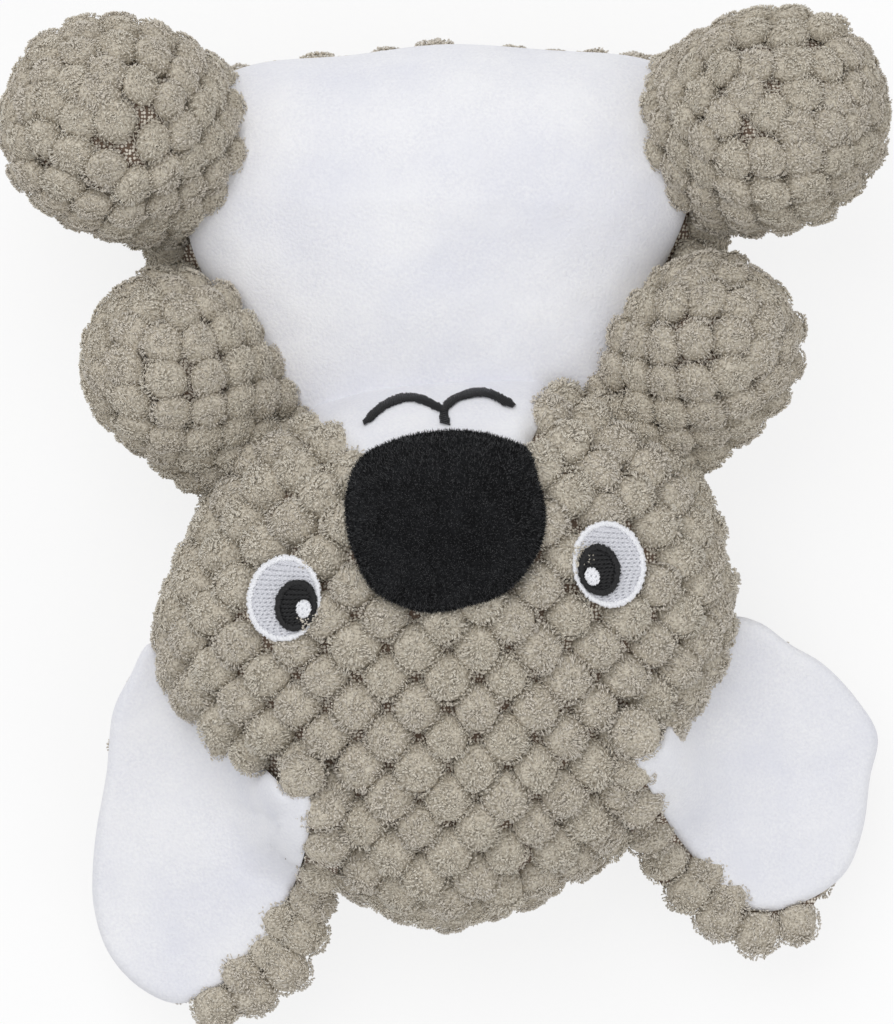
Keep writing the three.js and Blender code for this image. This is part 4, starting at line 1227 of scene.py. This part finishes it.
def short_pile(name, roots, normals, length, width, materials, spin):
    """Short tapering fibres that stand on a surface."""
    count = len(roots)
    way = normals + 0.35 * spin.normal(size=(count, 3))
    way /= np.linalg.norm(way, axis=1)[:, None]
    side = np.cross(way, spin.normal(size=(count, 3)))
    side /= np.linalg.norm(side, axis=1)[:, None]
    other = np.cross(way, side)
    tips = roots + way * (length * spin.uniform(0.6, 1.2, count))[:, None]
    corners = [
        roots + width / 2 * (math.cos(a) * side + math.sin(a) * other)
        for a in (0, 2 * math.pi / 3, 4 * math.pi / 3)
    ]
    points = np.stack([tips, *corners], axis=1).reshape(-1, 3)
    faces = (4 * np.arange(count)[:, None, None] + STRAND_FACES[:, ::-1]).reshape(-1, 3)
    picks = np.repeat(spin.integers(len(materials), size=count), 4)
    return make_object(name, points, [faces], materials, picks)


# Embroidery

def thread(start, end, rise, width):
    """One satin stitch: a low rounded bar between two plan points, with dipping ends."""
    run = end - start
    length = np.linalg.norm(run)
    ahead = run / length
    side = np.array([-ahead[1], ahead[0]])
    shares = np.array([0, 0.12, 0.5, 0.88, 1])
    lifts = np.array([-0.45, 0.18, 0.3, 0.18, -0.45])
    angles = np.array([0, 45, 90, 135, 180, 270]) * math.pi / 180
    rows = []
    for share, lift in zip(shares, lifts):
        centre = start + run * share
        plan = centre + np.outer(np.cos(angles) * width / 2, side)
        base = face_point(centre[None], 0)[0, 2]
        rows.append(np.column_stack([plan, base + rise + lift + np.sin(angles) * width * 0.55]))
    return rows


def sew(name, stitches, material, slot):
    """An object made of stitches, each of them (start, end, rise, width)."""
    points, quads, ends = [], [], []
    for number, stitch in enumerate(stitches):
        rows = thread(*stitch)
        around = len(rows[0])
        first = number * around * len(rows)
        points += rows
        quads.append(ring_faces(around, len(rows), first))
        cap = first + np.arange(around)
        ends.append(np.vstack([cap[::-1], cap + around * (len(rows) - 1)]))
    quads = np.concatenate(quads)
    points = np.vstack(points)
    caps = np.vstack(ends)
    if signed_volume(points, quads) < 0:
        quads, caps = quads[:, ::-1], caps[:, ::-1]
    thing = make_object(name, points, [quads, caps], [material])
    return thing


def fill_stitches(outline, rise, way_degrees, length, spin):
    """Rows of staggered stitches that fill an outline."""
    way = math.radians(way_degrees)
    ahead = np.array([math.cos(way), math.sin(way)])
    side = np.array([-ahead[1], ahead[0]])
    centre = outline.mean(0)
    reach = np.max(np.linalg.norm(outline - centre, axis=1))
    stitches = []
    for row, offset in enumerate(np.arange(-reach, reach, THREAD_WIDTH * 0.82)):
        line = centre + side * offset + np.outer(np.linspace(-reach, reach, 160), ahead)
        inside = inside_outline(line, outline)
        if inside.sum() < 4:
            continue
        start, end = line[inside][0], line[inside][-1]
        span = np.linalg.norm(end - start)
        first = -length * ((row * 0.37) % 1)
        for low in np.arange(first, span, length):
            a, b = max(low, 0), min(low + length, span)
            if b - a < 0.35:
                continue
            lift = rise + spin.uniform(-0.06, 0.06)
            stitches.append((start + ahead * a, start + ahead * b, lift, THREAD_WIDTH))
    return stitches


def border_stitches(outline, rise, width, spin, slant=0.25):
    """Satin stitches side by side across the rim of an outline."""
    length = np.sum(np.linalg.norm(np.roll(outline, -1, 0) - outline, axis=1))
    rim = even_steps(np.vstack([outline, outline[:1]]), int(length / (THREAD_WIDTH * 0.85)))
    inner = grown_outline(rim, -width)
    run = np.roll(rim, -1, 0) - rim
    run /= np.linalg.norm(run, axis=1)[:, None]
    reach = spin.uniform(-0.2, 0.2, (len(rim), 2))
    out = (rim - inner) / width
    starts = rim + out * reach[:, :1] + run * slant * width
    ends = inner - out * reach[:, 1:]
    return [(a, b, rise + spin.uniform(-0.05, 0.08), THREAD_WIDTH) for a, b in zip(starts, ends)]


def make_eye(eye):
    """An embroidered eye: white, pupil and glint, each with its own stitches."""
    spin = np.random.default_rng(24 + len(eye["side"]))
    lean = eye["lean"]
    pieces = []
    layers = (
        ("white", EYE_SIZE, grey_thread, white_thread, "white_thread", -0.2, 17, 3.4, 1.4),
        ("pupil", PUPIL_SIZE, black_thread, black_thread, "black_thread", 0.8, 22, 3.0, 1.5),
        ("glint", GLINT_SIZE, white_thread, white_thread, "white_thread", 1.7, 62, 4.5, 0.0),
    )
    for layer, size, material, rim_material, slot, rise, way, length, border in layers:
        outline = ellipse_outline(head_spot(*eye[layer]), size, lean, 72)
        name = f"eye_{eye['side']}_{layer}"
        inner = grown_outline(outline, -0.7 * border)
        threads = sew(name + "_threads", fill_stitches(inner, rise, way, length, spin), material, slot)
        if border:
            join(threads, sew(name + "_rim", border_stitches(outline, rise + 0.28, border, spin), rim_material, slot))
        base = sheet_body(
            name + "_base", grown_outline(outline, -0.25), 0.8,
            lambda plan, rise=rise: face_point(plan, rise),
            lambda plan, rise=rise: face_point(plan, rise - 1.0),
            [material],
        )
        join(threads, base)
        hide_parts(name)
        pieces.append(threads)
    return pieces


def make_mouth():
    """The two curves of the mouth and the short line up to the nose."""
    spin = np.random.default_rng(26)
    stitches = []
    for number, line in enumerate(MOUTH_LINES):
        points = [head_spot(*share) for share in line]
        centres = open_curve(points, int(curve_length(open_curve(points, 60)) / THREAD_WIDTH))
        run = np.gradient(centres, axis=0)
        run /= np.linalg.norm(run, axis=1)[:, None]
        side = np.column_stack([-run[:, 1], run[:, 0]])
        share = np.arange(len(centres)) / len(centres)
        taper = 0.55 + 0.45 * np.minimum(1, 9 * np.minimum(share, 1 - share))
        half = MOUTH_LINE_WIDTH / 2 * (taper if number < 2 else np.ones(len(centres)))
        half = half * spin.uniform(0.84, 1.12, len(centres))
        for centre, ahead, across, reach in zip(centres, run, side, half):
            slant = 0.35 * reach * ahead
            stitches.append((
                centre - across * reach - slant, centre + across * reach + slant,
                0.55 + spin.uniform(-0.12, 0.14), THREAD_WIDTH,
            ))
    mouth = sew("mouth_threads", stitches, black_thread, "black_thread")
    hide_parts("mouth_stitching")
    return mouth


# Ears: seam ends in shares of the head, and outlines in shares of the ear's width and length

EARS = [
    {
        "side": "left",
        "seam": [(-1.01, 0.49), (-0.41, 0.92)],
        "fold": [
            (0.66, -0.16), (0.71, -0.13), (0.76, -0.08), (0.8, 0), (0.86, 0.12), (0.91, 0.22), (0.95, 0.33),
            (0.97, 0.51), (0.99, 0.72),
        ],
        "strip": [(0.64, -0.22), (0.73, -0.22), (0.8, -0.18), (0.88, -0.1), (0.94, -0.01), (1, 0.1), (1.04, 0.23)],
        "outline": [
            [0, 0], [0.1, 0.35], [0.26, 0.57], [0.475, 0.88], [0.6, 1], [0.75, 1.07], [0.91, 1.05],
            [1.06, 0.97], [1.18, 0.8], [1.21, 0.57], [1.2, 0.38], [1.09, 0.12], [0.95, -0.06], [0.5, -0.06],
        ],
        "lining": [
            [-0.01, 0.01], [0.04, 0.19], [0.1, 0.35], [0.26, 0.56], [0.38, 0.74], [0.48, 0.87],
            [0.6, 0.99], [0.75, 1.06], [0.91, 1.04], [1.03, 0.94], [1.07, 0.74], [1.05, 0.58],
            [1.03, 0.36], [0.953, 0.184], [0.841, -0.04], [0.733, -0.186], [0.66, -0.215], [0.62, -0.18],
            [0.645, -0.15], [0.65, -0.13], [0.6, -0.12], [0.54, -0.09], [0.36, -0.04], [0.18, -0.01],
        ],
    },
    {
        "side": "right",
        "seam": [(0.985, 0.44), (0.65, 0.88)],
        "fold": [
            (0.56, -0.18), (0.62, -0.09), (0.68, 0.02), (0.75, 0.14), (0.82, 0.27), (0.88, 0.4), (0.91, 0.55),
            (0.89, 0.67), (0.82, 0.79),
        ],
        "strip": [(0.53, -0.24), (0.61, -0.22), (0.68, -0.16), (0.75, -0.09), (0.82, 0), (0.88, 0.11), (0.95, 0.23)],
        "outline": [
            [0.06, 0], [0.03, 0.15], [0.06, 0.34], [0.08, 0.52], [0.15, 0.73], [0.25, 0.88], [0.39, 0.92],
            [0.56, 0.98], [0.75, 1], [0.92, 0.96], [1.04, 0.8], [1.09, 0.56], [1.05, 0.36], [0.96, 0.13],
            [0.88, -0.04], [0.45, -0.06],
        ],
        "lining": [
            [0.06, 0], [0.04, 0.13], [0.07, 0.31], [0.09, 0.49], [0.16, 0.71], [0.25, 0.87], [0.39, 0.91],
            [0.56, 0.97], [0.72, 0.97], [0.85, 0.86], [0.95, 0.66], [0.94, 0.47], [0.86, 0.26],
            [0.79, 0.1], [0.719, -0.023], [0.657, -0.134], [0.593, -0.224], [0.54, -0.235], [0.525, -0.16],
            [0.54, -0.14], [0.52, -0.13], [0.47, -0.11], [0.4, -0.07], [0.28, -0.03], [0.15, -0.02],
        ],
    },
]
EAR_MIDDLE_SHARE = (0.1, 0.48)


class EarForm:
    """A cupped sheet that hangs from its seam at the head's side."""

    def __init__(self, ear):
        self.side = ear["side"]
        start, end = (np.array(head_spot(*share)) for share in ear["seam"])
        self.middle = (start + end) / 2
        self.along = (end - start) / np.linalg.norm(end - start)
        self.outward = np.array([self.along[1], -self.along[0]])
        if self.outward[0] * self.middle[0] < 0:
            self.outward = -self.outward
        self.seat = HEAD_SEAM - EAR_CUP
        self.outline = anticlockwise(smooth_outline([self.place(*s) for s in ear["outline"]], 160))
        self.lining = anticlockwise(smooth_outline([self.place(*s) for s in ear["lining"]], 200))
        self.centre = self.place(EAR_MIDDLE_SHARE[0] + 0.5, EAR_MIDDLE_SHARE[1])
        away = self.outline - self.centre
        turns = np.arctan2(away[:, 1], away[:, 0])
        order = np.argsort(turns)
        self.turns, self.reaches = turns[order], np.linalg.norm(away, axis=1)[order]
        self.fold = open_curve([self.place(*s) for s in ear["fold"]], 80)
        self.strip = open_curve([self.place(*s) for s in ear["strip"]], 80)
        self.fold_rise = head_form.top(self.fold[:1])[0] + FOLD_LIFT - self.sheet(self.fold[:1])[0]

    def place(self, u, v):
        return self.middle + self.along * (u - 0.5) * EAR_WIDTH + self.outward * v * EAR_LENGTH

    def nearness(self, plan):
        """0 at the ear's middle and 1 at its rim."""
        away = plan - self.centre
        reach = np.interp(np.arctan2(away[:, 1], away[:, 0]), self.turns, self.reaches, period=2 * np.pi)
        return np.linalg.norm(away, axis=1) / reach

    def sheet(self, plan):
        """The middle of the sheet without its fold."""
        out = (plan - self.middle) @ self.outward
        near = np.minimum(self.nearness(plan), 1.15)
        hang = EAR_DROOP * np.clip(out / EAR_LENGTH, 0, 1)
        return self.seat - hang + EAR_CUP * near**2 + 0.5 * waves(plan, 26, 8)

    def beside_fold(self, plan):
        """The distance from the fold's centre line, and the share of the line where it is nearest."""
        distance = np.linalg.norm(plan[:, None] - self.fold[None], axis=2)
        return distance.min(1), distance.argmin(1) / len(self.fold)

    def height(self, plan):
        """The middle of the sheet, which rises in a fold that ends on the head's side."""
        near, share = self.beside_fold(plan)
        crest = self.fold_rise * (1 - smooth_step(share, 0, 0.5))
        ridge = crest * np.exp(-(np.maximum(near - FOLD_HALF_WIDTH, 0) / FOLD_REACH) ** 2)
        on_head = (near < FOLD_HALF_WIDTH + 1.6) & (head_form.share_out(plan, head_form.high_spot, FOLD_STAND) < 1)
        return np.maximum(self.sheet(plan) + ridge, np.where(on_head, head_form.top(plan, FOLD_STAND), 0))

    def strip_height(self, plan):
        """The height of the bobbled strip beside the fold, over the head's side where that is higher."""
        on_head = head_form.share_out(plan, head_form.high_spot) < 1
        return np.maximum(self.height(plan), np.where(on_head, head_form.top(plan) - STRIP_DEPTH, 0))

    def half_thickness(self, plan):
        near = np.minimum(self.nearness(plan), 1)
        return (EAR_EDGE + (EAR_THICKNESS - EAR_EDGE) * (1 - near**2)) / 2


FOLD_HALF_WIDTH = 3.0
FOLD_REACH = 7.0
FOLD_LIFT = 1.5
FOLD_STAND = 1.5
FOLD_ROOM = 1.2
STRIP_DEPTH = 1.0
STRIP_PITCH = 8.0
STRIP_HALF_WIDTH = 4.0
EAR_RIM_INSET = 4.5
EAR_LINING_THICKNESS = 2.2
EAR_EDGE_ROUND = 3.2

ear_forms = [EarForm(ear) for ear in EARS]


def make_ear(form):
    """The white lining, the knitted back and its bobbles."""

    def lining_top(plan):
        inward = np.clip(outline_distance(plan, form.lining) / EAR_EDGE_ROUND, 0, 1)
        rounded = np.sqrt(np.clip(1 - (1 - inward) ** 2, 0, 1))
        z = form.height(plan) + form.half_thickness(plan) + 0.3 + EAR_LINING_THICKNESS * rounded
        return np.column_stack([plan, z + 0.08 * waves(plan, 4, 9)])

    def lining_bottom(plan):
        return np.column_stack([plan, form.height(plan) + form.half_thickness(plan) - 0.3])

    lining = sheet_body(
        f"ear_{form.side}_lining_plush", form.lining, 1.2, lining_top, lining_bottom, [white_plush]
    )
    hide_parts(f"ear_{form.side}_lining")
    back_plan = grown_outline(form.outline, -BACKING_DEPTH)
    back_plan = back_plan[~(head_form.share_out(back_plan, head_form.high_spot, 0.5) < 1)]
    back = sheet_body(
        f"ear_{form.side}_knit", resampled(back_plan, 2.0), 2.2,
        lambda plan: np.column_stack([plan, form.height(plan) + form.half_thickness(plan) - 0.5]),
        lambda plan: np.column_stack([plan, form.height(plan) - 1.0]),
        [knit],
    )
    join(back, make_strip(form))
    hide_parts(f"ear_{form.side}_back")
    pile = dress(f"ear_{form.side}_bobbles", back, ear_seeds(form, back_plan), np.random.default_rng(30 + len(form.side)))
    return lining, back, pile


def make_strip(form):
    """The knitted backing of the bobbles beside the fold."""
    run = np.gradient(form.strip, axis=0)
    aside = STRIP_HALF_WIDTH * np.column_stack([run[:, 1], -run[:, 0]]) / np.linalg.norm(run, axis=1)[:, None]
    outline = np.vstack([form.strip + aside, (form.strip - aside)[::-1]])
    return sheet_body(
        f"ear_{form.side}_strip", outline, 2.0,
        lambda plan: np.column_stack([plan, form.strip_height(plan)]),
        lambda plan: np.column_stack([plan, form.strip_height(plan) - BACKING_THICKNESS]),
        [knit],
    )


def ear_seeds(form, back_plan):
    """Bobbles under the ear, round the rim that the lining leaves bare and beside its fold."""
    strip = form.strip[:: round(len(form.strip) * STRIP_PITCH / curve_length(form.strip))]
    strip_feet = np.column_stack([strip, form.strip_height(strip)])
    strip_normals = np.column_stack([0.5 * (strip - form.centre) / EAR_LENGTH, np.ones(len(strip))])
    rim = resampled(back_plan, 0.92 * BOBBLE_PITCH)
    rim = rim[~(head_form.share_out(rim, head_form.high_spot, 2.0) < 1)]
    apart = np.linalg.norm(rim[:, None] - strip[None], axis=2).min(1)
    rim = rim[apart > 0.6 * BOBBLE_PITCH]
    away = rim - form.centre
    out = away / np.linalg.norm(away, axis=1)[:, None]
    bare = ~inside_outline(rim, grown_outline(form.lining, 1.5))
    inset = np.where(bare, 0, EAR_RIM_INSET)[:, None]
    rim_feet = np.column_stack([rim - inset * out, form.height(rim) - inset[:, 0] * 0.3])
    rim_normals = np.column_stack([out, np.where(bare, 0.75, -1.6)])
    under = form.centre + diamond_lattice(2.2 * EAR_WIDTH)
    keep = inside_outline(under, grown_outline(anticlockwise(back_plan), -EAR_RIM_INSET - 5))
    keep &= ~(head_form.share_out(under, head_form.high_spot, 4.0) < 1)
    under = under[keep]
    under_feet = np.column_stack([under, form.sheet(under) - 1.0])
    under_normals = np.tile(-UP, (len(under), 1))
    inner = rim[bare] - 5.5 * out[bare]
    inner = inner[~inside_outline(inner, grown_outline(form.lining, -1.0))]
    inner_feet = np.column_stack([inner, form.height(inner) + 1.0])
    inner_normals = np.tile(UP, (len(inner), 1))
    feet = np.vstack([rim_feet, under_feet, inner_feet, strip_feet])
    normals = np.vstack([rim_normals, under_normals, inner_normals, strip_normals])
    normals /= np.linalg.norm(normals, axis=1)[:, None]
    return Seeds(feet, normals, np.column_stack([feet[:, :2] - form.centre, np.zeros(len(feet))]))


# Limbs

def make_limb(form):
    """A bobbled cover, its bobbles and the stuffing inside."""
    around = 60
    turn = 2 * np.pi * np.arange(around) / around

    def rings(grow, lumps):
        line = form.line(grow)[2:-1]
        made = []
        for along, reach in line:
            ring = form.ring(along, np.full(around, reach), turn)
            way = ring - (form.root + form.direction * along)
            made.append(ring + way / max(reach, 1) * lumps * waves(ring, 26, 40)[:, None])
        return made

    def ends(grow):
        line = form.line(grow)
        return form.root + form.direction * line[0, 0], form.root + form.direction * line[-1, 0]

    def shell(name, grow, thickness, material, lumps):
        outer, inner = rings(grow, lumps), rings(grow - thickness, lumps)
        paw, _ = ends(grow)
        paw_inner, _ = ends(grow - thickness)
        return shell_body(name, paw, outer, inner, paw_inner, [material])

    cover = shell(f"{form.name}_knit", -LIMB_BACKING_DEPTH, BACKING_THICKNESS, knit, 0.5)
    paw, root = ends(-LIMB_BACKING_DEPTH)
    whole = ring_body(f"{form.name}_whole", paw, rings(-LIMB_BACKING_DEPTH, 0.5), root, [knit])
    tree = surface_tree(whole)
    bpy.data.objects.remove(whole)
    cut_away(cover, form_rings(body_form, -8), form_poles(body_form, -8))
    fill_grow = -LIMB_BACKING_DEPTH - BACKING_THICKNESS - 0.6
    paw, root = ends(fill_grow)
    stuffing = ring_body(f"{form.name}_fill", paw, rings(fill_grow, 0.5), root, [fibrefill])
    cut_away(stuffing, form_rings(body_form, -9), form_poles(body_form, -9))
    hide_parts(f"{form.name}_cover")
    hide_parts(f"{form.name}_stuffing")

    def is_bare(feet):
        return body_form.holds(feet, -4) | head_form.holds(feet, -3)

    seeds = limb_seeds(form, tree, is_bare)
    spin = np.random.default_rng(50 + len(form.name))
    pile = dress(f"{form.name}_bobbles", cover, seeds, spin, LIMB_BOBBLE_SHARE)
    return cover, pile, stuffing


# Inside the body and the head

SQUEAKER_Y = 72
SQUEAKER_RADIUS = 21
BELLOWS_FOOT = 22.3
BELLOWS_HEIGHT = 15
BELLOWS_FOLDS = 3
BELLOWS_DEPTH = 3
BELLOWS_WALL = 1.3
CROWN_TOP = 42.6
PAD_MARGIN = 2
SQUEAKER_FLOOR = 16
FILL_MARGIN = 1.2


def make_bellows():
    """The squeaker's folding wall with rounded folds."""
    around = 64
    turn = 2 * np.pi * np.arange(around) / around
    heights = np.linspace(0, 1, 49)
    fold = 0.5 - 0.5 * np.cos(2 * np.pi * BELLOWS_FOLDS * heights)

    def wall(radius):
        return [
            np.column_stack([
                (radius - BELLOWS_DEPTH * f) * np.cos(turn),
                SQUEAKER_Y + (radius - BELLOWS_DEPTH * f) * np.sin(turn),
                np.full(around, BELLOWS_FOOT + BELLOWS_HEIGHT * h),
            ])
            for h, f in zip(heights, fold)
        ]

    rings = wall(SQUEAKER_RADIUS) + wall(SQUEAKER_RADIUS - BELLOWS_WALL)[::-1]
    points = np.vstack(rings + [rings[0]])
    quads = ring_faces(around, len(rings) + 1) % (around * len(rings))
    points = points[: around * len(rings)]
    if signed_volume(points, quads) < 0:
        quads = quads[:, ::-1]
    bellows = make_object("bellows_folds", points, [quads], [soft_plastic])
    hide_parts("squeaker_bellows")
    return bellows


def make_fill(name, form, grow, high_grow, node, well=None):
    """A wad of fibrefill that fills a form, with a well for the squeaker if one is given."""
    rings = form.rings(90, np.linspace(0, 2, 62)[1:-1], grow, high_grow)
    rings = [ring - [0, 0, 0.5] + 0.4 * waves(ring, 16, 11)[:, None] * [0, 0, 1] for ring in rings]
    fill = ring_body(name, rings[0].mean(0), rings, rings[-1].mean(0), [fibrefill])
    if well:
        radius, floor = well
        turn = 2 * np.pi * np.arange(48) / 48
        plan = np.column_stack([radius * np.cos(turn), SQUEAKER_Y + radius * np.sin(turn)])
        top = BODY_HEIGHT + 9
        levels = (floor, top)
        cut_away(
            fill,
            [np.column_stack([plan, np.full(48, z)]) for z in levels],
            [np.array([0, SQUEAKER_Y, floor]), np.array([0, SQUEAKER_Y, top])],
        )
    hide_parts(node)
    return fill


def make_pad():
    """The wad between the squeaker and the belly panel."""
    radius = SQUEAKER_RADIUS + PAD_MARGIN
    turn = 2 * np.pi * np.arange(72) / 72
    shares = np.linspace(0, 1, 14)[1:]
    middle = np.array([0, SQUEAKER_Y])

    def disc(level, bulge):
        rings = []
        for share in shares:
            plan = middle + share * radius * np.column_stack([np.cos(turn), np.sin(turn)])
            z = level(plan) - bulge * share**8 + 0.25 * waves(plan, 9, 12)
            rings.append(np.column_stack([plan, z]))
        return rings

    under = PLUSH_THICKNESS + 1.3
    top = disc(lambda plan: body_form.top(plan, -under), 1.5)
    low = disc(lambda plan: np.full(len(plan), CROWN_TOP + 0.6), -1.5)
    pad = shell_body("belly_pad_fill", top[0].mean(0), top, low, low[0].mean(0), [fibrefill])
    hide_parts("belly_pad")
    return pad


# Assembly: what rides on what, and what stays in place

def joint(name):
    return next(j for j in frame["joints"] if j["name"] == name)


def assemble_body():
    belly = make_belly()
    back, back_pile = make_back()
    fill = make_fill(
        "body_fill", body_form, -BACKING_DEPTH - BACKING_THICKNESS - 0.6, -PLUSH_THICKNESS - FILL_MARGIN,
        "body_stuffing", (SQUEAKER_RADIUS + PAD_MARGIN + 0.6, SQUEAKER_FLOOR - 0.4),
    )
    cut_away(fill, form_rings(head_form, 0.5), form_poles(head_form, 0.5))
    pad = make_pad()
    bellows = make_bellows()
    # The stuffing's top lies this far under the panel's.
    under = (PLUSH_THICKNESS + FILL_MARGIN) * MM
    for piece, drop in ((belly, 0), (fill, under)):
        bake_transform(piece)
    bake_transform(bellows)
    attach(back, "body")
    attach(back_pile, "body")
    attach(pad, "belly_press")


def assemble_head():
    bending = make_head() + [make_muzzle(), *make_nose(), make_mouth()]
    for piece in bending:
        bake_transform(piece)
    fill = make_fill(
        "head_fill", head_form, -BACKING_DEPTH - BACKING_THICKNESS - 0.6, -BACKING_DEPTH - BACKING_THICKNESS - 0.6,
        "head_stuffing",
    )
    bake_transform(fill)
    for eye in EYES:
        for piece in make_eye(eye):
            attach(piece, "head")


def assemble_ears():
    for form in ear_forms:
        hinge = np.array(joint(f"ear_{form.side}_flap")["pos_m"])
        outward = np.array([*form.outward, 0])
        pieces = make_ear(form)
        for piece in pieces:
            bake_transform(piece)


def assemble_limbs():
    for form in limb_forms:
        hinge = np.array(joint(f"{form.name}_swing")["pos_m"])
        pieces = make_limb(form)
        for piece in pieces:
            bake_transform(piece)


def finish_squeaker():
    for node, material in (
        ("squeaker_base", soft_plastic), ("squeaker_crown", soft_plastic),
        ("squeaker_whistle", hard_plastic), ("squeaker_reed", hard_plastic),
    ):
        thing = frame["nodes"][node]
        thing.data.materials.clear()
        thing.data.materials.append(material)


# Floor, light and camera

FLOOR_GLOW_SHARE = 0.8


def seen_plainly(tree):
    """1 for what the camera sees directly, in gloss or through clear things."""
    path = tree.nodes.new("ShaderNodeLightPath")
    seen = path.outputs["Is Camera Ray"]
    for other in ("Is Glossy Ray", "Is Transmission Ray"):
        either = tree.nodes.new("ShaderNodeMath")
        either.operation = "MAXIMUM"
        tree.links.new(seen, either.inputs[0])
        tree.links.new(path.outputs[other], either.inputs[1])
        seen = either.outputs["Value"]
    return seen


def floor_look():
    """White paper that stays nearly white to the camera, in gloss and through clear things."""
    look = Look("floor_paper", (0.96, 0.96, 0.96, 1.0), 0.9)
    grain = look.noise(40, 2.0)
    look.colour(look.ramp(grain, (0.3, (0.955, 0.955, 0.955, 1)), (0.7, (0.965, 0.965, 0.965, 1))))
    tree = look.tree
    glow = tree.nodes.new("ShaderNodeEmission")
    part = tree.nodes.new("ShaderNodeMath")
    part.operation = "MULTIPLY"
    part.inputs[1].default_value = FLOOR_GLOW_SHARE
    tree.links.new(seen_plainly(tree), part.inputs[0])
    mix = tree.nodes.new("ShaderNodeMixShader")
    tree.links.new(part.outputs["Value"], mix.inputs["Fac"])
    tree.links.new(look.shader.outputs["BSDF"], mix.inputs[1])
    tree.links.new(glow.outputs["Emission"], mix.inputs[2])
    tree.links.new(mix.outputs["Shader"], tree.nodes["Material Output"].inputs["Surface"])
    return look.material


def make_stage():
    half = 3000
    corners = np.array([[-half, -half, 0], [half, -half, 0], [half, half, 0], [-half, half, 0]], float)
    floor = make_object("floor", corners, [np.array([[0, 1, 2, 3]])], [floor_look()], smooth=False)
    world = bpy.data.worlds.new("studio")
    world.use_nodes = True
    tree = world.node_tree
    sky = tree.nodes["Background"]
    sky.inputs["Color"].default_value = (0.97, 0.98, 1.0, 1)
    sky.inputs["Strength"].default_value = 0.6
    seen = tree.nodes.new("ShaderNodeBackground")
    seen.inputs["Color"].default_value = (1, 1, 1, 1)
    mix = tree.nodes.new("ShaderNodeMixShader")
    tree.links.new(seen_plainly(tree), mix.inputs["Fac"])
    tree.links.new(sky.outputs["Background"], mix.inputs[1])
    tree.links.new(seen.outputs["Background"], mix.inputs[2])
    tree.links.new(mix.outputs["Shader"], tree.nodes["World Output"].inputs["Surface"])
    bpy.context.scene.world = world


def make_lamp(name, place, aim, size, power):
    lamp = bpy.data.lights.new(name, "AREA")
    lamp.shape = "DISK"
    lamp.size = size
    lamp.energy = power
    thing = bpy.data.objects.new(name, lamp)
    thing.location = place
    thing.rotation_euler = (Vector(aim) - Vector(place)).to_track_quat("-Z", "Y").to_euler()
    bpy.context.scene.collection.objects.link(thing)


def make_camera():
    camera = bpy.data.cameras.new("camera")
    camera.sensor_fit = "HORIZONTAL"
    camera.sensor_width = 36
    camera.lens = camera.sensor_width * (EYE_HEIGHT - FOCUS_HEIGHT) / VIEW_WIDTH
    camera.clip_end = 20
    thing = bpy.data.objects.new("camera", camera)
    thing.location = (0, VIEW_Y, EYE_HEIGHT)
    bpy.context.scene.collection.objects.link(thing)
    bpy.context.scene.camera = thing


assemble_body()
assemble_head()
assemble_ears()
assemble_limbs()
finish_squeaker()
make_stage()
make_lamp("key", (-0.35, 0.6, 1.2), (0, 0, 0.03), 1.1, 7.6)
make_lamp("fill", (0.7, -0.7, 0.9), (0, 0, 0.03), 1.2, 3.0)
make_camera()
bpy.context.scene.view_settings.view_transform = "Standard"
